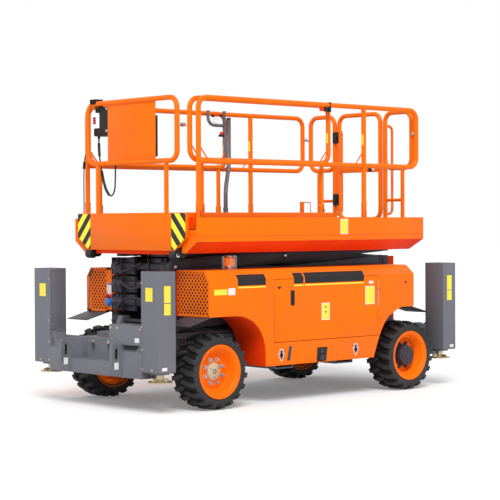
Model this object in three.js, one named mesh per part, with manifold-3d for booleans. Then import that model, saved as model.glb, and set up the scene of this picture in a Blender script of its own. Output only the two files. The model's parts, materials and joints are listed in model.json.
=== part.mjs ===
// Rough-terrain scissor lift with four levelling outriggers and a roll-out deck extension.
// Millimetres. +X is the front, +Y the left side, +Z up, and Z = 0 is the ground.
import * as THREE from "three";
import { mergeVertices } from "three/addons/utils/BufferGeometryUtils.js";
import Module from "manifold-3d";

const wasm = await Module();
wasm.setup();

// ---- Driving dimensions ----
const overallLength = 3960;
const overallWidth = 1790;
const overallHeight = 2735;
const fitGap = 0.3; // between two pieces that touch
const runGap = 0.6; // radial gap of a pin in its bore, and under a sliding pad
const moveGap = 6; // between pieces that pass each other

// wheels
const wheelbase = 2423;
const axleMidX = -20;
const tyreRadius = 330;
const tyreWidth = 290;
const wheelInset = 10; // tyre's outer side, inboard of the overall width
const beadRadius = 206;
const lipRadius = 235;
const rimInset = 5; // rim's outer plane, inboard of the tyre's outer side
const lipDepth = 23; // bead seat's end, inboard of the rim's outer plane
const discDepth = 94; // wheel disc's face, inboard of the rim's outer plane
const spindleRadius = 30;
const kingpinY = 520;
const kingpinRadius = 18;
const steerArm = 160;
const yokeHalf = 34;
const yokeZ = [[-98, -70], [70, 98]]; // lower and upper yoke plates, from the axle

// chassis
const chassisHalfWidth = 380;
const chassisBottomZ = 400;
const chassisTopZ = 640;
const chassisWall = 80;
const trayZ = 400;
const trayThickness = 16;
const chassisEndWall = 60;
const crossMembers = [[-480, -400], [560, 640]];
const shelfDrop = 30; // front shelf, below the chassis top
const pivotBracket = [90, 46]; // half lengths of the fixed pivots' brackets, foot and top
const forkPocketX = [195, -590];
const forkPocketSize = [230, 120];
const forkPocketHalfWidth = 620;
const forkPocketWall = 12;

// scissor stack
const levels = 4;
const armLength = 2650; // between the end pivots of one arm
const basePivotZ = 730;
const pivotPitch = 164.5; // height gained by each level when folded
const stackMidX = -15;
const armDepth = 130;
const innerArmY = [280, 340];
const outerArmY = [350, 420];
const shaftRadius = 22;
const hubTubeRadius = 38;
const centrePinRadius = 24;
const rollerRadius = 40;
const channelY = [430, 485];
const channelWall = 8;
const channelTravel = 1400; // length of the roller channels forward of the folded roller
const lowerPinOffset = 110; // lift cylinder's pins, along the arms from the cross tubes
const upperPinOffset = 170;
const lugPlate = [36, 54];
const lugRadius = 46;
const eyeRadius = 42;
const cylinderPinRadius = 20;
const barrelRadius = 55;
const rodRadius = 36;

// side covers
const coverY = 870;
const coverFrontX = 1310;
const coverRearX = -1296;
const coverInnerY = 436;
const coverTopZ = 1200;
const coverBottomZ = 340;
const coverWall = 5;
const coverChamfer = [60, 85];
const archTopZ = 800;
const frontArchRadius = 335;
const frontArchX = 650;
const rearArchX = -732;
const mudguardReach = 265;
const mudguardDrop = 70;
const doorX = [-803, 540];
const doorZ = [548, 1104];
const doorThickness = 25;
const doorHingeX = -810;
const hingeKnuckleRadius = 11;
const grilleThickness = 4;
const doorHingeY = coverY + hingeKnuckleRadius + fitGap;

// bumpers and outriggers
const legLength = 182;
const legWidth = 237;
const legZ = [358, 1206];
const legWall = 10;
const legFloor = 30;
const ramWidth = 120;
const ramTopZ = 1000;
const footInset = 15; // ram's axis, inboard of the leg's middle
const neckRadius = 47;
const padRadius = 105;
const padZ = [268, 282];
const bumperZ = [297, 605];
const bumperFaceX = 32; // upper beam's face, ahead of the legs' inner faces
const apronTopZ = 420;
const sideBoxTopZ = 503;
const upperBoxZ = 745;
const upperBoxY = 210;
const upperBoxX = [2, 177]; // ahead of the legs' inner faces
const lugReach = 100; // tie-down lugs, ahead of the legs' outer faces
const lugY = [350, 380];
const lugZ = [400, 596];
const lugSlotInset = 55;
const lugSlotZ = [450, 547];
const lugSlotWidth = 35;

// machinery, beacon and ladder
const engineX = [-420, 420];
const engineHeight = 560;
const tankX = [-560, 60];
const tankHeight = 480;
const bayMargin = 60; // between the machinery and the roller channels
const bayDepth = 190; // between the machinery and the cover's outer face
const beaconPlace = [928, 702];
const beaconHeight = 110;
const lensRadius = 50;
const cageRadius = 64;
const cageWire = 4;
const ladderHalfWidth = 190;
const ladderTopZ = 1180;
const ladderDepth = 100;
const ladderRadius = 14;
const rungZ = [750, 950, 1120];

// platform
const deckRise = 162; // deck floor, above the top pivots
const floorThickness = 50;
const deckHalfLength = 1438;
const deckHalfWidth = 868;
const beamRise = [-102, 105]; // heights named Rise are above the deck floor
const skirtInnerY = 721;
const skirtDrop = 203;
const beamWall = 5;
const endPlateX = 1480;
const endPlateRise = 60; // rear end plate, above the deck floor
const railRadius = 23;
const postRadius = 20;
const bendRadius = 90;
const midRailRise = 590;
const topRailDrop = 25; // guard rails' top, below the control box's hook
const railY = 790;
const railFrontX = 1350;
const railRearX = -1424;
const railPostX = -690;
const socketRadius = 25.5;
const socketHeight = 250;
const extensionRailY = 722;
const extensionRearX = -287;
const extensionFrontX = 1389;
const extensionPostX = [1258, -197];
const extensionSocketHeight = 200;
const flangeY = [749, 756]; // upright edges of the extension's floor
const extensionTopDrop = 4; // side loops' top, below the main top rail
const extensionLowRise = 603;
const faceRailX = endPlateX - 24;
const faceRailHalf = 633;
const faceRailRise = [4, 10]; // front loop, below and above the side loops
const facePanelY = [-338, 338];
const facePostY = 485;
const extensionPlateRise = [-179, 150];
const extensionHalfWidth = 768;
const extensionFloor = 20;
const padThickness = 6;
const extensionPadY = [640, 700];
const extensionCorner = [149, 114]; // cut from the front plate's lower corners
const stopRollerY = 600;
const gateHalfWidth = 286;
const fencePostY = 350;
const fenceX = 22 - endPlateX;
const gateHinge = [fenceX + 24, -314];
const gateHingeInset = [290, 217]; // above the deck floor, and below the top rail
const gateKnuckleRadius = 12;
const gateKnuckleHalf = 25;
const fenceOuterY = 700;
const fencePostFootY = 580;
const fenceStepRise = 276;
const grabReach = 100;
const grabInset = [140, 127]; // above the deck floor, and below the top rail

// controls
const controlDepth = 150;
const controlY = [-596, -372];
const controlHookY = [-574, -490];
const controlDrop = [281, 18]; // below the side loops' top
const leverY = -668;
const leverRadius = 20;
const leverStem = [[-245, 387], [-290, 630]];
const leverDrop = [45, 75]; // the fork's top and the stem's, below the overall height
const leverForkDrop = 335;
const leverGripX = [-230, -19];
const leverGripDrop = 170;
const gripRadius = 14;

// leads of the extension
const leadRadius = 7;
const leadX = 1412; // the hanging loop's plane, behind the front rail
const controlLead = [
  [1380, -575, 2340],
  [1388, -562, 2285],
  [1402, -538, 2225],
  [leadX, -514, 2165],
  [leadX, -494, 2085],
  [leadX, -466, 1990],
  [leadX, -428, 1910],
  [leadX, -385, 1866],
  [leadX, -340, 1862],
  [leadX, -306, 1905],
  [leadX, -293, 1990],
  [leadX, -290, 2080],
  [leadX, -290, 2150],
];
const postLeadRadius = 5;
const postLead = [
  [faceRailX, -670, 2250],
  [1452, -690, 2222],
  [1445, -712, 2168],
  [1437, -728, 2110],
  [1432, -738, 2040],
  [1430, -741, 1940],
  [1430, -741, 1820],
  [1430, -741, 1700],
];
const junctionDepth = 62;
const junctionY = [-335, -250];
const junctionRise = [30, 120]; // above the front loop's lower rail
const documentDepth = 70;
const documentY = [20, 280];
const documentInset = [39, 129]; // from the side loops' lower and top rails

// ---- Derived places ----
const legFaceX = overallLength / 2 - lugReach;
const halfWidth = overallWidth / 2;
const frontAxleX = axleMidX + wheelbase / 2;
const rearAxleX = axleMidX - wheelbase / 2;
const wheelY = halfWidth - wheelInset - tyreWidth / 2;
const rimHalf = tyreWidth / 2 - rimInset;
const beadHalf = rimHalf - lipDepth;
const discFace = rimHalf - discDepth;
const foldedAngle = Math.asin(pivotPitch / armLength);
const stackHalfX = (armLength * Math.cos(foldedAngle)) / 2;
const fixedPivotX = stackMidX + stackHalfX;
const rollerX = stackMidX - stackHalfX;
const pivotZ = (level) => basePivotZ + level * pivotPitch;
const topPivotZ = pivotZ(levels);
const legInnerX = legFaceX - legLength;
const footX = legFaceX - legLength / 2 - footInset;
const legMidY = halfWidth - legWidth / 2;
const chassisHalfLength = legInnerX - 138;
const topRailZ = overallHeight - topRailDrop - railRadius;
const deckFloorZ = topPivotZ + deckRise;
const beamZ = beamRise.map((rise) => deckFloorZ + rise);
const skirtBottomZ = deckFloorZ - skirtDrop;
const midRailZ = deckFloorZ + midRailRise;
const socketTopZ = deckFloorZ + socketHeight;
const extensionPlate = extensionPlateRise.map((rise) => deckFloorZ + rise);
const extensionLowZ = deckFloorZ + extensionLowRise;
const extensionTopZ = topRailZ - extensionTopDrop;
const latchPinZ = (extensionLowZ + extensionTopZ) / 2;
const gateHingeZ = [deckFloorZ + gateHingeInset[0], topRailZ - gateHingeInset[1]];
const fenceStepZ = deckFloorZ + fenceStepRise;
const grabZ = [deckFloorZ + grabInset[0], topRailZ - grabInset[1]];
const controlZ = controlDrop.map((drop) => extensionTopZ - drop);
const junctionZ = junctionRise.map((rise) => extensionLowZ + rise);
const documentZ = [extensionLowZ + documentInset[0], extensionTopZ - documentInset[1]];

// ---- Shape helpers ----
function box(x0, x1, y0, y1, z0, z1) {
  const shape = new THREE.BoxGeometry(x1 - x0, y1 - y0, z1 - z0);
  return shape.translate((x0 + x1) / 2, (y0 + y1) / 2, (z0 + z1) / 2);
}

// A bar between two points, its flats facing the axes.
function bar(from, to, radius, sides = 10) {
  const start = new THREE.Vector3(...from);
  const along = new THREE.Vector3(...to).sub(start);
  const shape = new THREE.CylinderGeometry(radius, radius, along.length(), sides);
  shape.translate(0, along.length() / 2, 0);
  shape.rotateY(Math.PI / sides);
  const turn = new THREE.Quaternion().setFromUnitVectors(
    new THREE.Vector3(0, 1, 0),
    along.clone().normalize(),
  );
  return shape.applyQuaternion(turn).translate(...from);
}

// A bore's radius whose flats clear a shaft of the given radius.
function boreRadius(shaft, sides = 10) {
  return (shaft + runGap) / Math.cos(Math.PI / sides);
}

// The tool that cuts a shaft's running bore, its flats facing the shaft's corners.
function boreTool(from, to, shaft, sides = 10) {
  const start = new THREE.Vector3(...from);
  const along = new THREE.Vector3(...to).sub(start);
  const axis = along.clone().normalize();
  const tool = bar(from, to, boreRadius(shaft, sides), sides);
  tool.translate(-start.x, -start.y, -start.z);
  tool.applyQuaternion(new THREE.Quaternion().setFromAxisAngle(axis, Math.PI / sides));
  return tool.translate(start.x, start.y, start.z);
}

function outline(points) {
  return new THREE.Shape(points.map(([a, b]) => new THREE.Vector2(a, b)));
}

function extrude(points, depth) {
  return new THREE.ExtrudeGeometry(outline(points), { depth, bevelEnabled: false });
}

// Outline in X and Z, from y0 to y1.
function slabXZ(points, y0, y1) {
  return extrude(points, y1 - y0).rotateX(Math.PI / 2).translate(0, y1, 0);
}

// Outline in Y and Z, from x0 to x1.
function slabYZ(points, x0, x1) {
  const turn = new THREE.Matrix4().makeBasis(
    new THREE.Vector3(0, 1, 0),
    new THREE.Vector3(0, 0, 1),
    new THREE.Vector3(1, 0, 0),
  );
  return extrude(points, x1 - x0).applyMatrix4(turn).translate(x0, 0, 0);
}

// Outline in X and Y, from z0 to z1.
function slabXY(points, z0, z1) {
  return extrude(points, z1 - z0).translate(0, 0, z0);
}

function arcPoints(cx, cy, radius, from, to, steps) {
  const points = [];
  for (let i = 0; i <= steps; i += 1) {
    const angle = ((from + ((to - from) * i) / steps) * Math.PI) / 180;
    points.push([cx + radius * Math.cos(angle), cy + radius * Math.sin(angle)]);
  }
  return points;
}

// A ring about the Y axis: profile points are [radius, distance along Y].
function ringY(profile, sides) {
  const points = profile.map(([r, y]) => new THREE.Vector2(r, y));
  return new THREE.LatheGeometry(points, sides, Math.PI / sides);
}

// A path through corner points, each corner rounded off.
class BentPath extends THREE.Curve {
  constructor(corners, bend, steps) {
    super();
    this.points = [corners[0].clone()];
    for (let i = 1; i < corners.length - 1; i += 1) {
      const before = corners[i - 1].clone().sub(corners[i]).setLength(bend);
      const after = corners[i + 1].clone().sub(corners[i]).setLength(bend);
      const curve = new THREE.QuadraticBezierCurve3(
        corners[i].clone().add(before),
        corners[i].clone().lerp(corners[i].clone().add(before).add(after), 0.05),
        corners[i].clone().add(after),
      );
      this.points.push(...curve.getPoints(steps));
    }
    this.points.push(corners[corners.length - 1].clone());
  }
  getPointAt(u) {
    return this.points[Math.round(u * (this.points.length - 1))].clone();
  }
  getTangentAt(u) {
    const i = Math.round(u * (this.points.length - 1));
    const before = this.points[Math.max(i - 1, 0)];
    const here = this.points[i];
    const after = this.points[Math.min(i + 1, this.points.length - 1)];
    const into = here.clone().sub(before).normalize();
    const out = after.clone().sub(here).normalize();
    return into.add(out).normalize();
  }
}

function tube(corners, radius, bend = bendRadius, steps = 2, sides = 8) {
  const path = new BentPath(
    corners.map((c) => new THREE.Vector3(...c)),
    bend,
    steps,
  );
  return new THREE.ExtrudeGeometry(outline(arcPoints(0, 0, radius, 0, 360 - 360 / sides, sides - 1)), {
    steps: path.points.length - 1,
    extrudePath: path,
    bevelEnabled: false,
  });
}

// A closed loop with four rounded corners, given as [a, b] of one straight side and its far side.
function loop(corners, radius, bend = bendRadius) {
  const [a, b, c, d] = corners;
  const middle = (p, q, t) => p.map((v, i) => v + (q[i] - v) * t);
  const first = tube([middle(a, b, 0.49), b, c, middle(c, d, 0.51)], radius, bend);
  const second = tube([middle(c, d, 0.49), d, a, middle(a, b, 0.51)], radius, bend);
  return [first, second];
}

// ---- Booleans ----
function toSolid(geometry) {
  const bare = geometry.clone();
  bare.deleteAttribute("normal");
  bare.deleteAttribute("uv");
  const merged = mergeVertices(bare, 1e-3);
  return new wasm.Manifold(
    new wasm.Mesh({
      numProp: 3,
      vertProperties: new Float32Array(merged.attributes.position.array),
      triVerts: new Uint32Array(merged.index.array),
    }),
  );
}

function toGeometry(solid) {
  const mesh = solid.getMesh();
  const geometry = new THREE.BufferGeometry();
  geometry.setAttribute("position", new THREE.BufferAttribute(mesh.vertProperties, 3));
  geometry.setIndex(new THREE.BufferAttribute(mesh.triVerts, 1));
  const flat = geometry.toNonIndexed();
  flat.computeVertexNormals();
  return flat;
}

function join(...pieces) {
  const solids = pieces.flat().map(toSolid);
  return toGeometry(solids.reduce((whole, piece) => whole.add(piece)));
}

function cut(base, ...tools) {
  const solids = tools.flat().map(toSolid);
  return toGeometry(solids.reduce((whole, tool) => whole.subtract(tool), toSolid(base)));
}

function common(base, other) {
  return toGeometry(toSolid(base).intersect(toSolid(other)));
}

// The same shape on the other side of the XZ plane, its faces still outward.
function mirrored(geometry, axis = "y") {
  const copy = geometry.index ? geometry.toNonIndexed() : geometry.clone();
  copy.scale(axis === "x" ? -1 : 1, axis === "y" ? -1 : 1, 1);
  const position = copy.getAttribute("position");
  for (let i = 0; i < position.count; i += 3) {
    const [x, y, z] = [position.getX(i), position.getY(i), position.getZ(i)];
    position.setXYZ(i, position.getX(i + 1), position.getY(i + 1), position.getZ(i + 1));
    position.setXYZ(i + 1, x, y, z);
  }
  copy.computeVertexNormals();
  return copy;
}

function bothSides(...pieces) {
  return pieces.flat().flatMap((piece) => [piece, mirrored(piece)]);
}

// ---- Materials ----
const paint = {
  orange: [0xff7314, 0.35, 0.1],
  grey: [0x70717a, 0.45, 0.3],
  charcoal: [0x2d2a30, 0.5, 0.3],
  black: [0x161616, 0.7, 0],
  zinc: [0xc9b88a, 0.35, 0.9],
  steel: [0xb9bcc0, 0.3, 0.9],
  amber: [0xff8a1c, 0.2, 0],
  lever: [0x736f76, 0.5, 0.3],
};

const root = new THREE.Group();

function add(name, finish, geometry) {
  const [color, roughness, metalness] = paint[finish];
  const material = new THREE.MeshStandardMaterial({ color, roughness, metalness });
  const mesh = new THREE.Mesh(geometry, material);
  mesh.name = name;
  root.add(mesh);
  return mesh;
}

// ---- Chassis ----
function channel(z, top) {
  const half = rollerRadius + runGap;
  const outer = box(
    rollerX - armDepth / 2,
    rollerX + channelTravel,
    channelY[0],
    channelY[1],
    z - (top ? half + channelWall : z - chassisTopZ),
    z + (top ? deckFloorZ - floorThickness - z : half + channelWall),
  );
  const pocket = box(
    rollerX - armDepth,
    rollerX + channelTravel + 1,
    channelY[0] - 1,
    channelY[1] - channelWall,
    z - half,
    z + half,
  );
  return cut(outer, pocket);
}

function makeForkPocket(x) {
  const half = forkPocketSize[0] / 2;
  const wall = forkPocketWall;
  const reach = forkPocketHalfWidth;
  const bottom = chassisBottomZ - forkPocketSize[1];
  return cut(
    box(x - half, x + half, -reach, reach, bottom, chassisBottomZ + 1),
    box(x - half + wall, x + half - wall, -reach - 1, reach + 1, bottom + wall, chassisBottomZ - wall),
  );
}

function makeChassis() {
  const end = chassisHalfLength - chassisEndWall;
  const bays = [-end, ...crossMembers.flat(), end];
  const spine = box(
    -chassisHalfLength,
    chassisHalfLength,
    -chassisHalfWidth,
    chassisHalfWidth,
    chassisBottomZ,
    chassisTopZ,
  );
  const pockets = [0, 2, 4].map((i) =>
    box(
      bays[i],
      bays[i + 1],
      chassisWall - chassisHalfWidth,
      chassisHalfWidth - chassisWall,
      chassisBottomZ + trayThickness,
      chassisTopZ + 1,
    ),
  );
  const side = chassisHalfWidth - 1;
  const ledge = box(
    rollerX - armDepth / 2,
    rollerX + channelTravel,
    side,
    channelY[1],
    chassisTopZ - trayThickness,
    chassisTopZ + fitGap,
  );
  const tray = box(
    rearArchX + 40,
    frontArchX - 20,
    side,
    coverY - coverWall - runGap,
    trayZ,
    trayZ + trayThickness,
  );
  const frontShelf = box(
    frontArchX - 60,
    coverFrontX - 40,
    side,
    channelY[0],
    chassisTopZ - trayThickness - shelfDrop,
    chassisTopZ - shelfDrop,
  );
  const [bracketFoot, bracketTop] = pivotBracket;
  const bracket = slabXZ(
    [
      [fixedPivotX - bracketFoot, chassisTopZ - 1],
      [fixedPivotX + bracketFoot, chassisTopZ - 1],
      [fixedPivotX + bracketTop, basePivotZ + bracketTop],
      [fixedPivotX - bracketTop, basePivotZ + bracketTop],
    ],
    innerArmY[0] + 4,
    innerArmY[1],
  );
  const forkPockets = forkPocketX.map((x) => makeForkPocket(x));
  const frame = join(
    cut(spine, ...pockets),
    ...bothSides(ledge, tray, frontShelf, bracket, channel(basePivotZ, false)),
    ...forkPockets,
  );
  const bore = boreTool(
    [fixedPivotX, -innerArmY[1] - 1, basePivotZ],
    [fixedPivotX, innerArmY[1] + 1, basePivotZ],
    shaftRadius,
  );
  return cut(frame, bore);
}

// ---- Scissor arms ----
// Built along -X from the front pivot, then laid at the folded angle.
function armPair([y0, y1]) {
  const end = armDepth / 2;
  const profile = [
    ...arcPoints(0, 0, end, -90, 90, 4),
    ...arcPoints(-armLength, 0, end, 90, 270, 4),
  ];
  const arm = slabXZ(profile, y0, y1);
  return [arm, mirrored(arm)];
}

function across(x, half, radius, sides = 10) {
  return bar([x, -half, 0], [x, half, 0], radius, sides);
}

function acrossBore(x, half, shaft) {
  return boreTool([x, -half, 0], [x, half, 0], shaft);
}

function makeOuterArms(level) {
  const overlap = (outerArmY[0] + outerArmY[1]) / 2;
  const pieces = [
    ...armPair(outerArmY),
    across(0, overlap, shaftRadius),
    across(-armLength, level === levels ? channelY[0] + 10 : overlap, shaftRadius),
  ];
  if (level === levels) {
    pieces.push(...rollers(-armLength));
  }
  const pinBore = acrossBore(-armLength / 2, outerArmY[1] + 1, centrePinRadius);
  return cut(join(...pieces), pinBore);
}

function rollers(x) {
  return bothSides(
    bar([x, channelY[0] + 3, 0], [x, channelY[1] - channelWall - 3, 0], rollerRadius, 12),
  );
}

function makeInnerArms(level) {
  const inside = (innerArmY[0] + innerArmY[1]) / 2;
  const tubes = [0, -armLength].map((x) => across(x, inside, hubTubeRadius));
  const pin = bar(
    [-armLength / 2, innerArmY[0] + 2, 0],
    [-armLength / 2, outerArmY[1] + 4, 0],
    centrePinRadius,
  );
  const pieces = [...armPair(innerArmY), ...tubes, ...bothSides(pin)];
  if (level === 1) {
    const nose = arcPoints(lowerPinOffset - armLength, 0, lugRadius, -90, 90, 6);
    const lug = [[-armLength, -lugRadius], ...nose, [-armLength, lugRadius]];
    pieces.push(...bothSides(slabXZ(lug, ...lugPlate)));
  }
  if (level === 2) {
    const nose = arcPoints(-upperPinOffset, 0, lugRadius, 90, 270, 6);
    pieces.push(...bothSides(slabXZ([[0, -lugRadius], [0, lugRadius], ...nose], ...lugPlate)));
  }
  if (level === 1) {
    pieces.push(across(-armLength, channelY[0] + 10, shaftRadius), ...rollers(-armLength));
  }
  if (level === levels) {
    pieces.push(across(0, outerArmY[1] - 22, shaftRadius));
  }
  const bores = [];
  if (level > 1) {
    bores.push(acrossBore(-armLength, innerArmY[1] + 1, shaftRadius));
  }
  if (level < levels) {
    bores.push(acrossBore(0, innerArmY[1] + 1, shaftRadius));
  }
  if (level === 1) {
    bores.push(acrossBore(lowerPinOffset - armLength, 60, cylinderPinRadius));
  }
  if (level === 2) {
    bores.push(acrossBore(-upperPinOffset, 60, cylinderPinRadius));
  }
  return cut(join(...pieces), ...bores);
}

// Lift cylinder: its own frame has the barrel's pin at 0 and the rod's pin at +X.
function cylinderPins() {
  const onArm = (level, distance) =>
    new THREE.Vector3(
      fixedPivotX - distance * Math.cos(foldedAngle),
      0,
      pivotZ(level) - distance * Math.sin(foldedAngle),
    );
  return [onArm(1, armLength - lowerPinOffset), onArm(2, upperPinOffset)];
}

function makeCylinder() {
  const [lower, upper] = cylinderPins();
  const reach = upper.distanceTo(lower);
  const barrelEnd = reach - 110;
  const eyeHalf = lugPlate[0] - runGap;
  const eye = (x) => bar([x, -eyeHalf, 0], [x, eyeHalf, 0], eyeRadius, 16);
  const pin = bar([0, -lugPlate[1], 0], [0, lugPlate[1], 0], cylinderPinRadius);
  const boreStart = 150;
  const body = cut(
    bar([70, 0, 0], [barrelEnd, 0, 0], barrelRadius, 16),
    bar([boreStart, 0, 0], [barrelEnd + 1, 0, 0], boreRadius(rodRadius, 16), 16),
  );
  const barrel = join(eye(0), pin, bar([7, 0, 0], [80, 0, 0], 32), body);
  const rod = join(eye(reach), bar([boreStart + 20, 0, 0], [reach - 7, 0, 0], rodRadius, 12));
  const tilt = -Math.atan2(upper.z - lower.z, upper.x - lower.x);
  return { barrel, rod, tilt, lower };
}

// ---- Wheels ----
function makeTyre() {
  const half = tyreWidth / 2;
  const sidewall = tyreRadius - lipRadius;
  const bulge = lipRadius + Math.min(30, sidewall / 3);
  const shoulder = tyreRadius - Math.min(28, sidewall / 3);
  const profile = [
    [beadRadius + fitGap, -beadHalf + 1],
    [lipRadius, -rimHalf + 13],
    [bulge, -half],
    [shoulder, -half + 4],
    [tyreRadius, -half + 30],
    [tyreRadius, half - 30],
    [shoulder, half - 4],
    [bulge, half],
    [lipRadius, rimHalf - 13],
    [beadRadius + fitGap, beadHalf - 1],
  ];
  const flats = 20;
  const grow = 1 / Math.cos(Math.PI / flats);
  const grown = profile.map(([r, y]) => [r * grow, y]);
  return ringY([...grown, grown[0]], flats);
}

function makeRim() {
  const inner = beadRadius - 10;
  const hubRadius = 62;
  const blindEnd = discFace - 6;
  const bore = boreRadius(spindleRadius, 12);
  const profile = [
    [0, blindEnd],
    [bore, blindEnd],
    [bore, -60],
    [hubRadius, -60],
    [hubRadius, discFace - 12],
    [inner, discFace - 40],
    [inner, -beadHalf - 6],
    [lipRadius - 10, -rimHalf],
    [lipRadius, -rimHalf],
    [lipRadius, -rimHalf + 8],
    [beadRadius, -beadHalf],
    [beadRadius, beadHalf],
    [lipRadius, rimHalf - 8],
    [lipRadius, rimHalf],
    [lipRadius - 10, rimHalf],
    [inner, beadHalf + 6],
    [inner, discFace - 26],
    [inner - 46, discFace],
    [80, discFace],
    [80, discFace + 12],
    [0, discFace + 12],
  ];
  return ringY(profile, 12);
}

// ---- Steering and axles ----
function makeKnuckle() {
  const body = box(-46, 46, -30, 44, yokeZ[0][1] + 1 - 0.4, yokeZ[1][0] - 0.6);
  const kingpin = bar([0, 0, yokeZ[0][0] - 4], [0, 0, yokeZ[1][1] + 4], kingpinRadius);
  const spindle = bar([0, 30, 0], [0, wheelY - kingpinY + discFace - 6.5, 0], spindleRadius, 12);
  const arm = slabXY(
    [
      [-30, -24],
      [-steerArm, -22],
      ...arcPoints(-steerArm, 0, 22, 270, 90, 5).slice(1),
      [-30, 24],
    ],
    -16,
    10,
  );
  const tieBore = boreTool([-steerArm, 0, -20], [-steerArm, 0, 20], 11);
  return cut(join(body, kingpin, spindle, arm), tieBore);
}

function makeTieRod() {
  const x = frontAxleX - steerArm;
  const z = tyreRadius - 38;
  const end = (side) =>
    join(
      bar([x, side * kingpinY, z - 18], [x, side * kingpinY, z + 18], 22),
      bar([x, side * kingpinY, z], [x, side * kingpinY, z + 54], 11),
    );
  return join(bar([x, -kingpinY, z], [x, kingpinY, z], 15), end(1), end(-1));
}

function makeFrontAxle() {
  const z = tyreRadius;
  const yokeTop = z + yokeZ[1][1];
  const web = [kingpinY - 80, kingpinY - 54];
  const beamEnd = web[0] + 5;
  const beam = bar([frontAxleX, -beamEnd, z], [frontAxleX, beamEnd, z], 58, 8);
  const housing = bar([frontAxleX - 80, 0, z], [frontAxleX + 80, 0, z], 66, 12);
  const plates = yokeZ.map(([low, high]) =>
    box(frontAxleX - yokeHalf, frontAxleX + yokeHalf, web[0], kingpinY + yokeHalf, z + low, z + high),
  );
  const webPlate = box(
    frontAxleX - yokeHalf,
    frontAxleX + yokeHalf,
    web[0],
    web[1],
    z + yokeZ[0][0],
    yokeTop,
  );
  const saddle = box(frontAxleX - 70, frontAxleX + 70, 180, 300, z, chassisBottomZ - fitGap);
  const whole = join(beam, housing, ...bothSides(...plates, webPlate, saddle));
  const bores = [1, -1].map((side) =>
    boreTool(
      [frontAxleX, side * kingpinY, z + yokeZ[0][0] - 5],
      [frontAxleX, side * kingpinY, yokeTop + 5],
      kingpinRadius,
    ),
  );
  return cut(whole, ...bores);
}

function makeRearAxle() {
  const z = tyreRadius;
  const spindleEnd = wheelY + discFace - 6.5;
  const beam = bar([rearAxleX, -wheelY + 70, z], [rearAxleX, wheelY - 70, z], 58, 8);
  const spindle = bar([rearAxleX, -spindleEnd, z], [rearAxleX, spindleEnd, z], spindleRadius, 12);
  const housing = bar([rearAxleX - 96, 0, z], [rearAxleX + 96, 0, z], 66, 12);
  const saddle = box(rearAxleX - 70, rearAxleX + 70, 180, 300, z, chassisBottomZ - fitGap);
  return join(beam, spindle, housing, ...bothSides(saddle));
}

// ---- Side covers ----
function frontArch(inset) {
  const radius = frontArchRadius + inset;
  const cx = frontArchX + frontArchRadius;
  return arcPoints(cx, archTopZ - frontArchRadius, radius, 90, 180, 8);
}

function rearArch(inset) {
  const run = [
    [-1120, 0],
    [-945, -80],
    [-840, -208],
    [-775, -350],
    [rearArchX, coverBottomZ - archTopZ],
  ];
  const curve = new THREE.SplineCurve(
    run.map(([x, drop]) => new THREE.Vector2(x + inset * (drop === 0 ? 0 : 1), archTopZ + drop)),
  );
  const lift = (v) => v + inset * Math.max(0, 1 + (v - archTopZ) / 200);
  return curve.getPoints(8).map((p) => [p.x, lift(p.y)]);
}

function coverOutline(inset) {
  const bottom = inset > 0 ? coverBottomZ - 10 : coverBottomZ;
  const front = coverFrontX - grilleThickness - fitGap + (inset > 0 ? 10 : 0);
  const rearArc = rearArch(inset);
  return [
    [front, archTopZ + inset],
    [front, coverTopZ - inset],
    [coverRearX + 43 + inset, coverTopZ - inset],
    [coverRearX + inset, coverTopZ - coverChamfer[1] - inset],
    [coverRearX + inset, archTopZ + inset],
    ...rearArc.slice(0, -1),
    [rearArc[rearArc.length - 1][0], bottom],
    [frontArchX - inset, bottom],
    ...frontArch(inset).reverse(),
  ];
}

function chamferedSection(inset, bottom) {
  const y = coverY - inset;
  const top = coverTopZ - inset;
  const slope = inset * 0.5;
  return [
    [coverInnerY + inset, bottom],
    [y, bottom],
    [y, coverTopZ - coverChamfer[1] - slope],
    [y - coverChamfer[0] + slope, top],
    [coverInnerY + inset, top],
  ];
}

function makeCover() {
  const shell = (inset) =>
    common(
      slabXZ(coverOutline(inset), coverInnerY, coverY + 1),
      slabYZ(chamferedSection(inset, coverBottomZ - 20), coverRearX - 20, coverFrontX + 20),
    );
  const lowInside = box(
    rearArchX + coverWall,
    frontArchX - coverWall,
    coverInnerY - 1,
    coverY - coverWall,
    coverBottomZ - 30,
    channelY[0] + 400,
  );
  const inward = box(
    coverRearX - 1,
    coverFrontX + 1,
    coverInnerY - 1,
    channelY[1] + moveGap,
    coverBottomZ - 30,
    basePivotZ + rollerRadius + channelWall + moveGap + 2,
  );
  const doorway = box(
    doorX[0] - 4,
    doorX[1] + 5,
    coverY - coverWall - 1,
    coverY + 1,
    doorZ[0] - 5,
    doorZ[1] + 4,
  );
  const guard = (x0, way) => {
    const x1 = x0 + way * mudguardReach;
    const points = [
      [x0, archTopZ - 2],
      [x0, archTopZ + coverWall],
      [x1, archTopZ + coverWall - mudguardDrop],
      [x1, archTopZ - 2 - mudguardDrop],
    ];
    return slabXZ(way > 0 ? points.reverse() : points, 560, coverY - 4);
  };
  const hollow = cut(shell(0), shell(coverWall), lowInside, inward, doorway);
  return join(hollow, guard(coverFrontX - 40, 1), guard(coverRearX + 40, -1));
}

function makeGrille() {
  const section = chamferedSection(0, archTopZ);
  return slabYZ(section, coverFrontX - grilleThickness, coverFrontX);
}

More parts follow.
